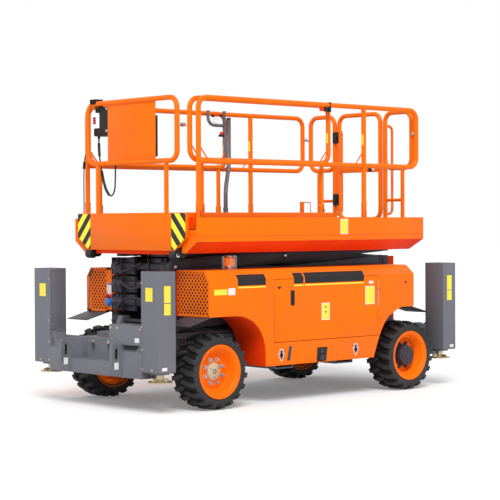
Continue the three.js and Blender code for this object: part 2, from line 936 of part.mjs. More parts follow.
function makeDoor() {
  const panel = cut(
    box(doorX[0], doorX[1], coverY - doorThickness, coverY, doorZ[0], doorZ[1]),
    box(doorX[0] + 30, doorX[1] - 30, coverY - doorThickness - 1, coverY - 4, doorZ[0] + 30, doorZ[1] - 30),
  );
  const knuckles = [0.35, 0.85].map((t) => {
    const z = doorZ[0] + (doorZ[1] - doorZ[0]) * t;
    return join(
      bar([doorHingeX, doorHingeY, z - 30], [doorHingeX, doorHingeY, z + 30], hingeKnuckleRadius),
      box(doorHingeX, doorX[0] + 30, coverY + 1, doorHingeY, z - 30, z + 30),
      box(doorX[0], doorX[0] + 30, coverY - 1, coverY + 2, z - 30, z + 30),
    );
  });
  const handle = box(310, 330, coverY - 1, coverY + 8, 871, 1006);
  return join(panel, ...knuckles, handle);
}

// ---- Bumpers, outriggers and feet ----
function makeLeg() {
  const [z0, z1] = legZ;
  const innerY = halfWidth - legWidth;
  const outer = box(legInnerX, legFaceX, innerY, halfWidth, z0, z1);
  const inner = box(
    legInnerX + legWall,
    legFaceX - legWall,
    innerY + legWall,
    halfWidth - legWall,
    z0 + legFloor,
    z1 - legWall,
  );
  const reach = ramWidth / 2 + runGap;
  const mouth = box(
    footX - reach,
    footX + reach,
    legMidY - reach,
    legMidY + reach,
    z0 - 1,
    z0 + legFloor + 1,
  );
  return cut(outer, inner, mouth);
}

function makeFoot() {
  const half = ramWidth / 2;
  const ramFoot = legZ[0] - 20;
  const ram = box(footX - half, footX + half, legMidY - half, legMidY + half, ramFoot, ramTopZ);
  const neck = bar([footX, legMidY, padZ[1] - 1], [footX, legMidY, ramFoot + 1], neckRadius, 12);
  const pad = bar([footX, legMidY, padZ[0]], [footX, legMidY, padZ[1]], padRadius, 20);
  return join(ram, neck, pad);
}

function makeLug() {
  const tip = legFaceX + lugReach;
  const corner = 35;
  const slotX = tip - lugSlotInset;
  const slotRadius = lugSlotWidth / 2;
  const plate = slabXZ(
    [
      [legInnerX + 1, bumperZ[0]],
      [legFaceX, bumperZ[0]],
      [tip, lugZ[0]],
      ...arcPoints(tip - corner, lugZ[1] - corner, corner, 0, 90, 3),
      [legInnerX + 1, lugZ[1]],
    ],
    ...lugY,
  );
  const slot = slabXZ(
    [
      ...arcPoints(slotX, lugSlotZ[1] - slotRadius, slotRadius, 0, 180, 4),
      ...arcPoints(slotX, lugSlotZ[0] + slotRadius, slotRadius, 180, 360, 4),
    ],
    lugY[0] - 1,
    lugY[1] + 1,
  );
  return cut(plate, slot);
}

function makeBumper(way) {
  const [z0, z1] = bumperZ;
  const outerY = halfWidth - legWidth - fitGap;
  const face = legInnerX + bumperFaceX;
  const neckStart = chassisHalfLength + fitGap;
  const neck = box(neckStart, legInnerX + 1, 0, chassisHalfWidth, chassisBottomZ, z1);
  const beam = box(legInnerX, face, 0, outerY, chassisBottomZ, z1);
  const apron = box(legInnerX, legFaceX, 0, lugY[0] + 1, z0, apronTopZ);
  const sideBox = slabXZ(
    [
      [legInnerX, z0],
      [legFaceX, z0],
      [legFaceX, sideBoxTopZ],
      [face, lugZ[1] - 1],
      [legInnerX, lugZ[1] - 1],
    ],
    lugY[1] - 1,
    outerY,
  );
  const whole = join(...bothSides(neck, beam, apron, sideBox, makeLug()));
  const [upperRear, upperFront] = upperBoxX.map((x) => legInnerX + x);
  const upperBox = box(upperRear, upperFront, upperBoxY, outerY, lugZ[1] - 20, upperBoxZ);
  return way > 0 ? join(whole, upperBox) : mirrored(whole, "x");
}

// ---- Machinery, beacon and ladder ----
function makeEngine() {
  const top = trayZ + trayThickness + fitGap;
  return box(...engineX, bayDepth - coverY, -channelY[1] - bayMargin, top, top + engineHeight);
}

function makeTank() {
  const top = trayZ + trayThickness + fitGap;
  return box(...tankX, channelY[1] + bayMargin, coverY - bayDepth, top, top + tankHeight);
}

function makeBeacon() {
  const [x, y] = beaconPlace;
  const z = coverTopZ + fitGap;
  const ringZ = z + beaconHeight + 2 * cageWire;
  const ring = new THREE.TorusGeometry(cageRadius, cageWire, 4, 12).translate(x, y, ringZ);
  const posts = [0, 90, 180, 270].map((deg) => {
    const angle = (deg * Math.PI) / 180;
    const px = x + cageRadius * Math.cos(angle);
    const py = y + cageRadius * Math.sin(angle);
    return bar([px, py, z + 6], [px, py, ringZ], cageWire, 4);
  });
  return join(
    bar([x, y, z], [x, y, z + 12], cageRadius + 6, 12),
    bar([x, y, z + 11], [x, y, z + beaconHeight], lensRadius, 12),
    ring,
    box(x - cageRadius, x + cageRadius, y - cageWire, y + cageWire, z + beaconHeight - 5, ringZ + 3),
    ...posts,
  );
}

function makeLadder() {
  const x = -legInnerX - bumperFaceX / 2;
  const y = ladderHalfWidth;
  const stand = bumperZ[1] + fitGap;
  const rail = tube(
    [
      [x, y, stand],
      [x, y, ladderTopZ],
      [x + ladderDepth, y, ladderTopZ],
      [x + ladderDepth, y, stand],
    ],
    ladderRadius,
    40,
  );
  const rungs = rungZ.map((z) => box(x - 20, x + 20, -y, y, z - 12, z + 12));
  return join(...bothSides(rail), ...rungs);
}

// ---- Platform ----
function makeDeck() {
  const floor = box(
    -deckHalfLength,
    deckHalfLength,
    -deckHalfWidth + beamWall,
    deckHalfWidth - beamWall,
    deckFloorZ - floorThickness,
    deckFloorZ,
  );
  const beam = cut(
    slabYZ(
      [
        [deckHalfWidth, beamZ[1]],
        [deckHalfWidth - beamWall - 3, beamZ[1]],
        [deckHalfWidth - beamWall - 3, beamZ[0] + 3],
        [skirtInnerY - 4, skirtBottomZ + 4],
        [skirtInnerY, skirtBottomZ],
        [deckHalfWidth, beamZ[0]],
      ],
      -deckHalfLength,
      deckHalfLength,
    ),
    slabXZ(
      [
        [-deckHalfLength - 1, skirtBottomZ - 5],
        [-deckHalfLength + 46, skirtBottomZ - 5],
        [-deckHalfLength - 1, beamZ[0]],
      ],
      skirtInnerY - 10,
      deckHalfWidth + 1,
    ),
  );
  const rearPlate = slabYZ(
    [
      [-extensionHalfWidth, beamZ[0] - 20],
      [extensionHalfWidth, beamZ[0] - 20],
      [extensionHalfWidth, deckFloorZ + endPlateRise],
      [-extensionHalfWidth, deckFloorZ + endPlateRise],
    ],
    -endPlateX,
    -deckHalfLength + 1,
  );
  const bracket = slabXZ(
    [
      ...arcPoints(fixedPivotX, topPivotZ, 44, 180, 360, 6),
      [fixedPivotX + 90, deckFloorZ - floorThickness + 1],
      [fixedPivotX - 90, deckFloorZ - floorThickness + 1],
    ],
    outerArmY[0],
    outerArmY[1] - 20,
  );
  const whole = join(
    floor,
    rearPlate,
    ...bothSides(beam, bracket, channel(topPivotZ, true)),
  );
  const bore = boreTool(
    [fixedPivotX, -outerArmY[1], topPivotZ],
    [fixedPivotX, outerArmY[1], topPivotZ],
    shaftRadius,
  );
  return cut(whole, bore);
}

function makeSideRail() {
  const y = railY;
  const foot = deckFloorZ + fitGap;
  const rail = tube(
    [
      [railFrontX, y, foot],
      [railFrontX, y, topRailZ],
      [railRearX, y, topRailZ],
      [railRearX, y, midRailZ],
      [railFrontX, y, midRailZ],
    ],
    railRadius,
    bendRadius,
  );
  const post = bar([railPostX, y, foot], [railPostX, y, topRailZ], railRadius, 8);
  const sockets = [railFrontX, railPostX].map((x) =>
    bar([x, y, foot], [x, y, socketTopZ], socketRadius, 8),
  );
  return join(rail, post, ...sockets);
}

function makeRearRail() {
  const x = fenceX;
  const foot = deckFloorZ + endPlateRise + fitGap;
  const side = (way) => {
    const post = way * fencePostY;
    const outerPost = way * fencePostFootY;
    return [
      ...loop(
        [
          [x, post, midRailZ],
          [x, post, topRailZ],
          [x, way * fenceOuterY, topRailZ],
          [x, way * fenceOuterY, midRailZ],
        ],
        railRadius,
      ),
      bar([x, post, foot], [x, post, midRailZ + bendRadius + 20], railRadius, 8),
      bar([x, outerPost, foot], [x, outerPost, midRailZ], postRadius, 8),
      bar([x, post, fenceStepZ], [x, outerPost, fenceStepZ], 16, 8),
      tube(
        [
          [x + 5, post, grabZ[0]],
          [x - grabReach, post, grabZ[0]],
          [x - grabReach, post, grabZ[1]],
          [x + 5, post, grabZ[1]],
        ],
        13,
        50,
      ),
    ];
  };
  const lap = gateKnuckleHalf + runGap;
  const ears = gateHingeZ.flatMap((z) =>
    [lap, -lap - 8].map((rise) =>
      box(x + 10, gateHinge[0] + 12, -fencePostY, gateHinge[1] + 4.4, z + rise, z + rise + 8),
    ),
  );
  return [join(...side(1)), join(...side(-1), ...ears)];
}

function makeGate() {
  const x = fenceX;
  const low = deckFloorZ + endPlateRise + moveGap + railRadius;
  const half = gateHalfWidth;
  const frame = loop(
    [
      [x, -half, low],
      [x, -half, topRailZ],
      [x, half, topRailZ],
      [x, half, low],
    ],
    railRadius,
  );
  const bars = [box(x - 14, x + 14, -half, half, midRailZ - 32, midRailZ + 32)];
  const [hingeX, hingeY] = gateHinge;
  const hinges = gateHingeZ.flatMap((z) => [
    bar([hingeX, hingeY, z - gateKnuckleHalf], [hingeX, hingeY, z + gateKnuckleHalf], gateKnuckleRadius),
    box(hingeX - 8, hingeX + 4, hingeY, -half, z - gateKnuckleHalf + 2, z + gateKnuckleHalf - 2),
  ]);
  return join(...frame, ...bars, ...hinges);
}

function makeExtensionDeck() {
  const bottom = deckFloorZ + runGap + padThickness;
  const plate = box(
    extensionRearX - 33,
    endPlateX - 10,
    -flangeY[1],
    flangeY[1],
    bottom,
    bottom + extensionFloor,
  );
  const flange = box(extensionRearX - 33, endPlateX - 10, ...flangeY, bottom + 1, extensionPlate[1]);
  const pad = box(
    extensionRearX - 20,
    deckHalfLength - 100,
    ...extensionPadY,
    deckFloorZ + runGap,
    bottom + 1,
  );
  const half = extensionHalfWidth;
  const [low, high] = extensionPlate;
  const [cornerX, cornerZ] = extensionCorner;
  const back = deckHalfLength + moveGap;
  const face = slabYZ(
    [
      [cornerX - half, low],
      [half - cornerX, low],
      [half, low + cornerZ],
      [half, high],
      [-half, high],
      [-half, low + cornerZ],
    ],
    back,
    endPlateX,
  );
  const axle = [endPlateX - 22, low - 38];
  const stop = join(
    box(back + 6, endPlateX - 8, stopRollerY - 15, stopRollerY + 15, low - 50, low + 1),
    bar([axle[0], stopRollerY - 40, axle[1]], [axle[0], stopRollerY + 40, axle[1]], 40, 12),
  );
  return join(plate, face, ...bothSides(flange, pad, stop));
}

function makeExtensionRail() {
  const floor = deckFloorZ + runGap + padThickness + extensionFloor + fitGap;
  const [frontX, rearX, low, top] = [extensionFrontX, extensionRearX, extensionLowZ, extensionTopZ];
  const side = (way) => {
    const y = way * extensionRailY;
    return [
      ...loop([[frontX, y, low], [frontX, y, top], [rearX, y, top], [rearX, y, low]], railRadius),
      ...extensionPostX.flatMap((x) => [
        bar([x, y, floor], [x, y, low], postRadius, 8),
        bar([x, y, floor], [x, y, floor + extensionSocketHeight], socketRadius, 8),
      ]),
    ];
  };
  const x = faceRailX;
  const y = faceRailHalf;
  const faceFoot = extensionPlate[1] + fitGap;
  const faceLow = low - faceRailRise[0];
  const faceTop = top + faceRailRise[1];
  const front = [
    ...loop([[x, -y, faceLow], [x, -y, faceTop], [x, y, faceTop], [x, y, faceLow]], railRadius),
    bar([x, facePostY, faceFoot], [x, facePostY, faceLow], postRadius, 8),
    bar([x, -facePostY, faceFoot], [x, -facePostY, faceLow], railRadius, 8),
    box(x - 4, x + 4, ...facePanelY, faceLow, faceTop),
  ];
  const pins = [1, -1].map((way) =>
    bar([x, way * y, latchPinZ], [frontX, way * extensionRailY, latchPinZ], 12, 8),
  );
  return join(...side(1), ...side(-1), ...front, ...pins);
}

function makeControlBox() {
  const railTop = extensionTopZ + faceRailRise[1] + railRadius;
  const [x0, x1] = [faceRailX - railRadius - fitGap - controlDepth, faceRailX - railRadius - fitGap];
  const [y0, y1] = controlY;
  const [z0, z1] = controlZ;
  return join(
    box(x0, x1, y0, y1, z0, z1),
    box(x1 - 40, x1, ...controlHookY, z1 - 1, overallHeight),
    box(x1 - 40, faceRailX + railRadius, ...controlHookY, railTop + fitGap + 1, overallHeight),
  );
}

// A lead's tube through its points.
function lead(points, radius, steps) {
  const path = new THREE.CatmullRomCurve3(
    points.map((p) => new THREE.Vector3(...p)),
    false,
    "centripetal",
  );
  const section = outline(arcPoints(0, 0, radius, 0, 315, 7));
  return new THREE.ExtrudeGeometry(section, { steps, extrudePath: path, bevelEnabled: false });
}

function makeControlLead() {
  const [x, y] = controlLead[0];
  const start = [x, y, controlZ[0] - fitGap];
  const last = controlLead[controlLead.length - 1];
  const end = [last[0], last[1], junctionZ[0] - fitGap];
  return lead([start, ...controlLead, end], leadRadius, 48);
}

function makePostLead() {
  const floor = deckFloorZ + runGap + padThickness + extensionFloor + fitGap;
  const [x, , z] = postLead[0];
  const last = postLead[postLead.length - 1];
  const start = [x, -faceRailHalf - railRadius - fitGap, z];
  return lead([start, ...postLead, [last[0], last[1], floor]], postLeadRadius, 30);
}

// Boxes on the back of the front panel.
function makeJunctionBox() {
  const front = faceRailX - 4 - fitGap;
  return box(front - junctionDepth, front, ...junctionY, ...junctionZ);
}

function makeDocumentBox() {
  const front = faceRailX - 4 - fitGap;
  const wall = 4;
  const pocket = box(
    front - documentDepth + wall,
    front - wall,
    documentY[0] + wall,
    documentY[1] - wall,
    documentZ[0] + wall,
    documentZ[1] + 1,
  );
  return cut(box(front - documentDepth, front, ...documentY, ...documentZ), pocket);
}

function makeLever() {
  const floor = deckFloorZ + runGap + padThickness + extensionFloor + fitGap;
  const y = leverY;
  const at = ([x, z]) => [x, y, z];
  const bends = leverStem.map(([x, rise]) => [x, deckFloorZ + rise]);
  const forkTop = overallHeight - leverDrop[0];
  const stemTop = [bends[1][0], overallHeight - leverDrop[1]];
  const [rear, front] = leverGripX;
  const fork = [rear, overallHeight - leverForkDrop];
  const gripZ = overallHeight - leverGripDrop;
  return join(
    tube([[bends[0][0], floor], ...bends, stemTop].map(at), leverRadius, 60),
    tube([bends[1], fork, [rear, forkTop]].map(at), gripRadius, 40),
    tube([[rear, gripZ], [front, gripZ], [front, forkTop]].map(at), gripRadius, 80),
  );
}

// ---- Assembly ----
add("chassis_frame", "grey", makeChassis());
add("front_bumper", "grey", makeBumper(1));
add("rear_bumper", "grey", makeBumper(-1));
add("front_axle", "charcoal", makeFrontAxle());
add("rear_axle", "charcoal", makeRearAxle());

const leg = makeLeg();
const foot = makeFoot();
for (const [name, x, y] of [
  ["front_left", 1, 1],
  ["front_right", 1, -1],
  ["rear_left", -1, 1],
  ["rear_right", -1, -1],
]) {
  const placed = (piece) => {
    const lengthwise = x < 0 ? mirrored(piece, "x") : piece;
    return y < 0 ? mirrored(lengthwise) : lengthwise;
  };
  add(`${name}_outrigger`, "grey", placed(leg));
  add(`${name}_foot`, "zinc", placed(foot));
  for (const [kind, finish, make] of [["tyre", "black", makeTyre], ["rim", "orange", makeRim]]) {
    const wheel = add(`${name}_${kind}`, finish, make());
    wheel.position.set(x > 0 ? frontAxleX : rearAxleX, y * wheelY, tyreRadius);
    wheel.rotation.z = y > 0 ? 0 : Math.PI;
  }
}

const knuckle = makeKnuckle().translate(frontAxleX, kingpinY, tyreRadius);
add("left_steering_knuckle", "charcoal", knuckle);
add("right_steering_knuckle", "charcoal", mirrored(knuckle));
add("steering_tie_rod", "steel", makeTieRod());

const cover = makeCover();
add("left_side_cover", "orange", cover);
add("right_side_cover", "orange", mirrored(cover));
const grille = makeGrille();
add("left_front_grille", "orange", grille);
add("right_front_grille", "orange", mirrored(grille));
const door = makeDoor();
add("left_service_door", "orange", door);
add("right_service_door", "orange", mirrored(door));
add("engine_block", "charcoal", makeEngine());
add("hydraulic_tank", "charcoal", makeTank());
add("warning_beacon", "amber", makeBeacon());
add("entry_ladder", "grey", makeLadder());

for (let level = 1; level <= levels; level += 1) {
  const outer = add(`outer_arms_${level}`, "charcoal", makeOuterArms(level));
  outer.position.set(fixedPivotX, 0, pivotZ(level - 1));
  outer.rotation.y = foldedAngle;
  const inner = add(`inner_arms_${level}`, "charcoal", makeInnerArms(level));
  inner.position.set(fixedPivotX, 0, pivotZ(level));
  inner.rotation.y = -foldedAngle;
}

const lift = makeCylinder();
for (const [name, finish, piece] of [
  ["lift_cylinder_barrel", "charcoal", lift.barrel],
  ["lift_cylinder_rod", "steel", lift.rod],
]) {
  const mesh = add(name, finish, piece);
  mesh.position.copy(lift.lower);
  mesh.rotation.y = lift.tilt;
}

add("main_deck", "orange", makeDeck());
const sideRail = makeSideRail();
add("left_guardrail", "orange", sideRail);
add("right_guardrail", "orange", mirrored(sideRail));
const [leftFence, rightFence] = makeRearRail();
add("rear_left_guardrail", "orange", leftFence);
add("rear_right_guardrail", "orange", rightFence);
add("entry_gate", "orange", makeGate());
add("extension_deck", "orange", makeExtensionDeck());
add("extension_guardrail", "orange", makeExtensionRail());
add("control_box", "black", makeControlBox());
add("deck_lock_lever", "lever", makeLever());
add("control_lead", "black", makeControlLead());
add("post_lead", "black", makePostLead());
add("junction_box", "black", makeJunctionBox());
add("document_box", "black", makeDocumentBox());

export default root;
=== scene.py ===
import json
import math

import bpy
from mathutils import Matrix, Quaternion, Vector

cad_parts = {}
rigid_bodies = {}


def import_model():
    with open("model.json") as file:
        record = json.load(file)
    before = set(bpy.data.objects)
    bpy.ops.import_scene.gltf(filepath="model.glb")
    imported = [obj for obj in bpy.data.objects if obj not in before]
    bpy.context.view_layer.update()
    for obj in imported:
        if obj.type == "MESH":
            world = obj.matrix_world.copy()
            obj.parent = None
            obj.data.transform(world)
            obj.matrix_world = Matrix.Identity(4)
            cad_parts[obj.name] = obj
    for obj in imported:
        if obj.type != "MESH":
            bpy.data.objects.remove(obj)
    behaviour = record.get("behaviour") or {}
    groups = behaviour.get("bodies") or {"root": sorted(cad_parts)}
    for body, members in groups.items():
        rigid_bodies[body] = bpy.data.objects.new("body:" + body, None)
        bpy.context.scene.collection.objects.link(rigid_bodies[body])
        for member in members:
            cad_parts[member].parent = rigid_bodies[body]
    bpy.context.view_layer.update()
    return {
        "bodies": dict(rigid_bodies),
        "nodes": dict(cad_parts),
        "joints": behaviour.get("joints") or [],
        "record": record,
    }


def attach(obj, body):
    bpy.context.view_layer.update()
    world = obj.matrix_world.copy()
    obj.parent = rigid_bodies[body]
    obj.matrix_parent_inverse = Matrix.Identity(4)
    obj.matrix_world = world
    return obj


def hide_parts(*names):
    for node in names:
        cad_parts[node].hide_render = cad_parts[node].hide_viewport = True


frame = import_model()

nodes = frame["nodes"]
scene = bpy.context.scene


def colour(red, green, blue):  # 0-255 screen values to scene values
    def lin(v):
        v = v / 255
        return v / 12.92 if v <= 0.04045 else ((v + 0.055) / 1.055) ** 2.4
    return (lin(red), lin(green), lin(blue), 1)


print("camera and light")
cameraSettings = {
    "place": (10.3425, 11.319, 1.617), "yaw": 227.367, "pitch": -0.915, "roll": -0.247,
    "lens": 116.57, "shift": (-0.0185, -0.00465), "reach": 200,
}


def makeCamera():
    settings = cameraSettings
    yaw, pitch = math.radians(settings["yaw"]), math.radians(settings["pitch"])
    look = Vector((math.cos(pitch) * math.cos(yaw), math.cos(pitch) * math.sin(yaw), math.sin(pitch)))
    data = bpy.data.cameras.new("camera")
    camera = bpy.data.objects.new("camera", data)
    scene.collection.objects.link(camera)
    turn = look.to_track_quat("-Z", "Y") @ Quaternion((0, 0, 1), math.radians(settings["roll"]))
    camera.matrix_world = Matrix.LocRotScale(Vector(settings["place"]), turn, None)
    data.lens = settings["lens"]
    data.shift_x, data.shift_y = settings["shift"]
    data.clip_end = settings["reach"]
    scene.camera = camera


lampSettings = {"from": (6.5, 7.6, 10.5), "spread": 28, "power": 2.15}
worldSettings = {"level": 0.6, "seen": 1}
floorSettings = {"colour": (0.9, 0.9, 0.905, 1), "lift": 0.16, "size": 120, "rough": 0.9}


def makeLights():
    bpy.ops.object.light_add(type="SUN", location=lampSettings["from"])
    key = bpy.context.object
    key.name = "key"
    key.data.angle = math.radians(lampSettings["spread"])
    key.data.energy = lampSettings["power"]
    key.rotation_euler = (-Vector(lampSettings["from"])).to_track_quat("-Z", "Y").to_euler()
    world = bpy.data.worlds.new("studio")
    scene.world = world
    world.use_nodes = True
    tree = world.node_tree
    tree.nodes.clear()
    path = tree.nodes.new("ShaderNodeLightPath")
    clear = path.outputs["Is Camera Ray"]  # white for what is seen, mirrored or looked through
    for kind in ("Is Transmission Ray", "Is Glossy Ray"):
        either = tree.nodes.new("ShaderNodeMath")
        either.operation = "MAXIMUM"
        tree.links.new(clear, either.inputs[0])
        tree.links.new(path.outputs[kind], either.inputs[1])
        clear = either.outputs[0]

    def backdrop(strength):
        node = tree.nodes.new("ShaderNodeBackground")
        node.inputs["Color"].default_value = (1, 1, 1, 1)
        node.inputs["Strength"].default_value = strength
        return node.outputs[0]

    mix = tree.nodes.new("ShaderNodeMixShader")
    out = tree.nodes.new("ShaderNodeOutputWorld")
    tree.links.new(clear, mix.inputs[0])
    tree.links.new(backdrop(worldSettings["level"]), mix.inputs[1])
    tree.links.new(backdrop(worldSettings["seen"]), mix.inputs[2])
    tree.links.new(mix.outputs[0], out.inputs["Surface"])


def makeFloor():
    bpy.ops.mesh.primitive_plane_add(size=floorSettings["size"], location=(0, 0, 0))
    floor = bpy.context.object
    floor.name = "floor"
    material = bpy.data.materials.new("studioFloor")
    material.use_nodes = True
    tree = material.node_tree
    shader = tree.nodes["Principled BSDF"]
    shader.inputs["Base Color"].default_value = floorSettings["colour"]
    shader.inputs["Roughness"].default_value = floorSettings["rough"]
    shader.inputs["Specular IOR Level"].default_value = 0
    shader.inputs["Emission Color"].default_value = (1, 1, 1, 1)
    path = tree.nodes.new("ShaderNodeLightPath")
    lift = tree.nodes.new("ShaderNodeMath")
    lift.operation = "MULTIPLY"
    lift.inputs[1].default_value = floorSettings["lift"]
    tree.links.new(path.outputs["Is Camera Ray"], lift.inputs[0])
    tree.links.new(lift.outputs[0], shader.inputs["Emission Strength"])
    floor.data.materials.append(material)


makeCamera()
makeLights()
makeFloor()
scene.view_settings.view_transform = "Standard"

print("finishes")
finishSettings = {
    "orangePaint": {"base": colour(255, 117, 0), "shade": colour(255, 112, 0),
        "rough": (0.34, 0.42), "grain": 90, "bump": 0.03},
    # red-orange as orange paint looks in shade: painted shade on undersides, arch liners, the deck lip, flanges, the
    # grille jamb, a groove line and the stack's rear plates; it is also the colour of the lever's knob and plate, the
    # rail catch block and the latch pin tips
    "redOrangePaint": {"base": colour(252, 66, 0), "shade": colour(246, 58, 0),
        "rough": (0.55, 0.7), "grain": 90, "bump": 0.03},
    "greyPaint": {"base": colour(113, 114, 123), "shade": colour(107, 108, 117),
        "rough": (0.38, 0.55), "grain": 70, "bump": 0.05, "metal": 0.1},
    "darkGreyPaint": {"base": colour(72, 72, 80), "shade": colour(58, 58, 64),
        "rough": (0.4, 0.6), "grain": 70, "bump": 0.05},
    "armPaint": {"base": colour(62, 59, 68), "shade": colour(50, 47, 56),
        "rough": (0.35, 0.55), "grain": 60, "bump": 0.05, "metal": 0.1},
    "blackPlastic": {"base": colour(30, 30, 32), "shade": colour(20, 20, 22),
        "rough": (0.45, 0.65), "grain": 260, "bump": 0.08},
    "rubber": {"base": colour(50, 49, 51), "shade": colour(36, 36, 38),
        "rough": (0.52, 0.7), "grain": 45, "bump": 0.15},
    # painted shade: darker rubber for the tread between the lugs
    "grooveShadeRubber": {"base": colour(24, 24, 25), "shade": colour(14, 14, 15),
        "rough": (0.8, 0.95), "grain": 45, "bump": 0.1},
    "innerShade": {"base": colour(12, 12, 13), "shade": colour(8, 8, 9),
        "rough": (0.8, 0.9), "grain": 45, "bump": 0.02},
    "zinc": {"base": colour(214, 200, 170), "shade": colour(192, 176, 142),
        "rough": (0.28, 0.45), "grain": 30, "bump": 0.03, "metal": 0.85},
    "silver": {"base": colour(205, 207, 212), "shade": colour(165, 168, 175),
        "rough": (0.2, 0.35), "grain": 60, "bump": 0.03, "metal": 0.95},
    "chrome": {"base": colour(225, 228, 232), "shade": colour(205, 208, 212),
        "rough": (0.08, 0.16), "grain": 20, "bump": 0.0, "metal": 1},
    "leverPaint": {"base": colour(117, 114, 120), "shade": colour(98, 95, 102),
        "rough": (0.35, 0.5), "grain": 80, "bump": 0.04, "metal": 0.2},
    "yellowPlate": {"base": colour(250, 234, 74), "shade": colour(242, 222, 60),
        "rough": (0.35, 0.45), "grain": 120, "bump": 0.01},
    "whitePlate": {"base": colour(240, 240, 240), "shade": colour(222, 222, 224),
        "rough": (0.35, 0.45), "grain": 120, "bump": 0.01},
    "redPlastic": {"base": colour(226, 32, 26), "shade": colour(196, 22, 18),
        "rough": (0.3, 0.42), "grain": 120, "bump": 0.03},
    "bluePlastic": {"base": colour(58, 142, 224), "shade": colour(40, 112, 200),
        "rough": (0.3, 0.42), "grain": 120, "bump": 0.03},
    "sealStrip": {"base": colour(84, 92, 112), "shade": colour(62, 68, 84),
        "rough": (0.6, 0.75), "grain": 150, "bump": 0.08},
    "deckPlate": {"base": colour(150, 150, 155), "shade": colour(118, 118, 124),
        "rough": (0.35, 0.6), "grain": 34, "bump": 0.25, "metal": 0.6},
}


# what every finish shares: slow colour change, faster roughness change, gloss
surfaceSettings = {
    "blotch": 2.6, "blotchEdge": (0.34, 0.62), "roughScale": 14, "relief": 0.002, "gloss": 0.35, "coverGloss": 0.15,
}


def surface(name, base, shade, rough, grain, bump, metal=0.0):
    s = surfaceSettings
    material = bpy.data.materials.new(name)
    material.use_nodes = True
    tree = material.node_tree
    shader = tree.nodes["Principled BSDF"]
    place = tree.nodes.new("ShaderNodeTexCoord")

    def noise(scale, detail):
        cloud = tree.nodes.new("ShaderNodeTexNoise")
        cloud.inputs["Scale"].default_value = scale
        cloud.inputs["Detail"].default_value = detail
        tree.links.new(place.outputs["Object"], cloud.inputs["Vector"])
        return cloud.outputs["Fac"]

    blotch = noise(s["blotch"], 4)
    ramp = tree.nodes.new("ShaderNodeValToRGB")
    ramp.color_ramp.elements[0].position = s["blotchEdge"][0]
    ramp.color_ramp.elements[0].color = shade
    ramp.color_ramp.elements[1].position = s["blotchEdge"][1]
    ramp.color_ramp.elements[1].color = base
    tree.links.new(blotch, ramp.inputs["Fac"])
    tree.links.new(ramp.outputs["Color"], shader.inputs["Base Color"])
    spread = tree.nodes.new("ShaderNodeMapRange")
    spread.inputs["To Min"].default_value = rough[0]
    spread.inputs["To Max"].default_value = rough[1]
    tree.links.new(noise(s["roughScale"], 3), spread.inputs["Value"])
    tree.links.new(spread.outputs["Result"], shader.inputs["Roughness"])
    shader.inputs["Metallic"].default_value = metal
    isCover = name in ("orangePaint", "redOrangePaint")
    shader.inputs["Specular IOR Level"].default_value = s["coverGloss"] if isCover else s["gloss"]
    if bump > 0:
        relief = tree.nodes.new("ShaderNodeBump")
        relief.inputs["Strength"].default_value = bump
        relief.inputs["Distance"].default_value = s["relief"]
        tree.links.new(noise(grain, 2), relief.inputs["Height"])
        tree.links.new(relief.outputs["Normal"], shader.inputs["Normal"])
    return material


finishes = {name: surface(name, **values) for name, values in finishSettings.items()}

stripeSettings = {"slope": 1.1, "pitch": 0.158, "light": colour(252, 244, 60), "dark": colour(34, 30, 33)}


def makeStripes():  # yellow and black bars that lean outwards and down on both sides
    material = surface("hazardStripes", **finishSettings["yellowPlate"])
    tree = material.node_tree
    shader = tree.nodes["Principled BSDF"]
    place = tree.nodes.new("ShaderNodeTexCoord")
    axes = tree.nodes.new("ShaderNodeSeparateXYZ")
    tree.links.new(place.outputs["Object"], axes.inputs[0])

    def step(kind, *values):
        node = tree.nodes.new("ShaderNodeMath")
        node.operation = kind
        for value, socket in zip(values, node.inputs):
            if isinstance(value, (int, float)):
                socket.default_value = value
            else:
                tree.links.new(value, socket)
        return node.outputs[0]

    lean = step("MULTIPLY", step("ABSOLUTE", axes.outputs["Y"]), stripeSettings["slope"])
    along = step("ADD", lean, axes.outputs["Z"])
    bars = step("GREATER_THAN", step("FRACT", step("DIVIDE", along, stripeSettings["pitch"])), 0.5)
    mix = tree.nodes.new("ShaderNodeMix")
    mix.data_type = "RGBA"
    mix.inputs["A"].default_value = stripeSettings["light"]
    mix.inputs["B"].default_value = stripeSettings["dark"]
    tree.links.new(bars, mix.inputs["Factor"])
    tree.links.new(mix.outputs["Result"], shader.inputs["Base Color"])
    return material


lensSettings = {
    "surface": {"base": colour(255, 150, 20), "shade": colour(250, 120, 10),
        "rough": (0.08, 0.14), "grain": 60, "bump": 0.02},
    "clear": 0.35, "glow": colour(255, 130, 10), "glowStrength": 0.15,
}


def makeLens():
    material = surface("amberLens", **lensSettings["surface"])
    shader = material.node_tree.nodes["Principled BSDF"]
    shader.inputs["Transmission Weight"].default_value = lensSettings["clear"]
    shader.inputs["Emission Color"].default_value = lensSettings["glow"]
    shader.inputs["Emission Strength"].default_value = lensSettings["glowStrength"]
    return material


finishes["hazardStripes"] = makeStripes()
finishes["amberLens"] = makeLens()


def pick(*objs):  # these selected, the first one active, nothing else
    bpy.ops.object.select_all(action="DESELECT")
    for obj in objs:
        obj.select_set(True)
    bpy.context.view_layer.objects.active = objs[0]


def edit(obj, select="SELECT"):
    pick(obj)
    bpy.ops.object.mode_set(mode="EDIT")
    bpy.ops.mesh.select_mode(type="VERT")
    bpy.ops.mesh.select_all(action=select)


def leave():
    bpy.ops.object.mode_set(mode="OBJECT")


def settle(obj):  # place, turn and size go into the mesh
    pick(obj)
    bpy.ops.object.transform_apply(location=True, rotation=True, scale=True)
    return obj


def modify(obj, kind, **values):
    pick(obj)
    modifier = obj.modifiers.new(kind.lower(), kind)
    for key, value in values.items():
        setattr(modifier, key, value)
    bpy.ops.object.modifier_apply(modifier=modifier.name)
    return obj


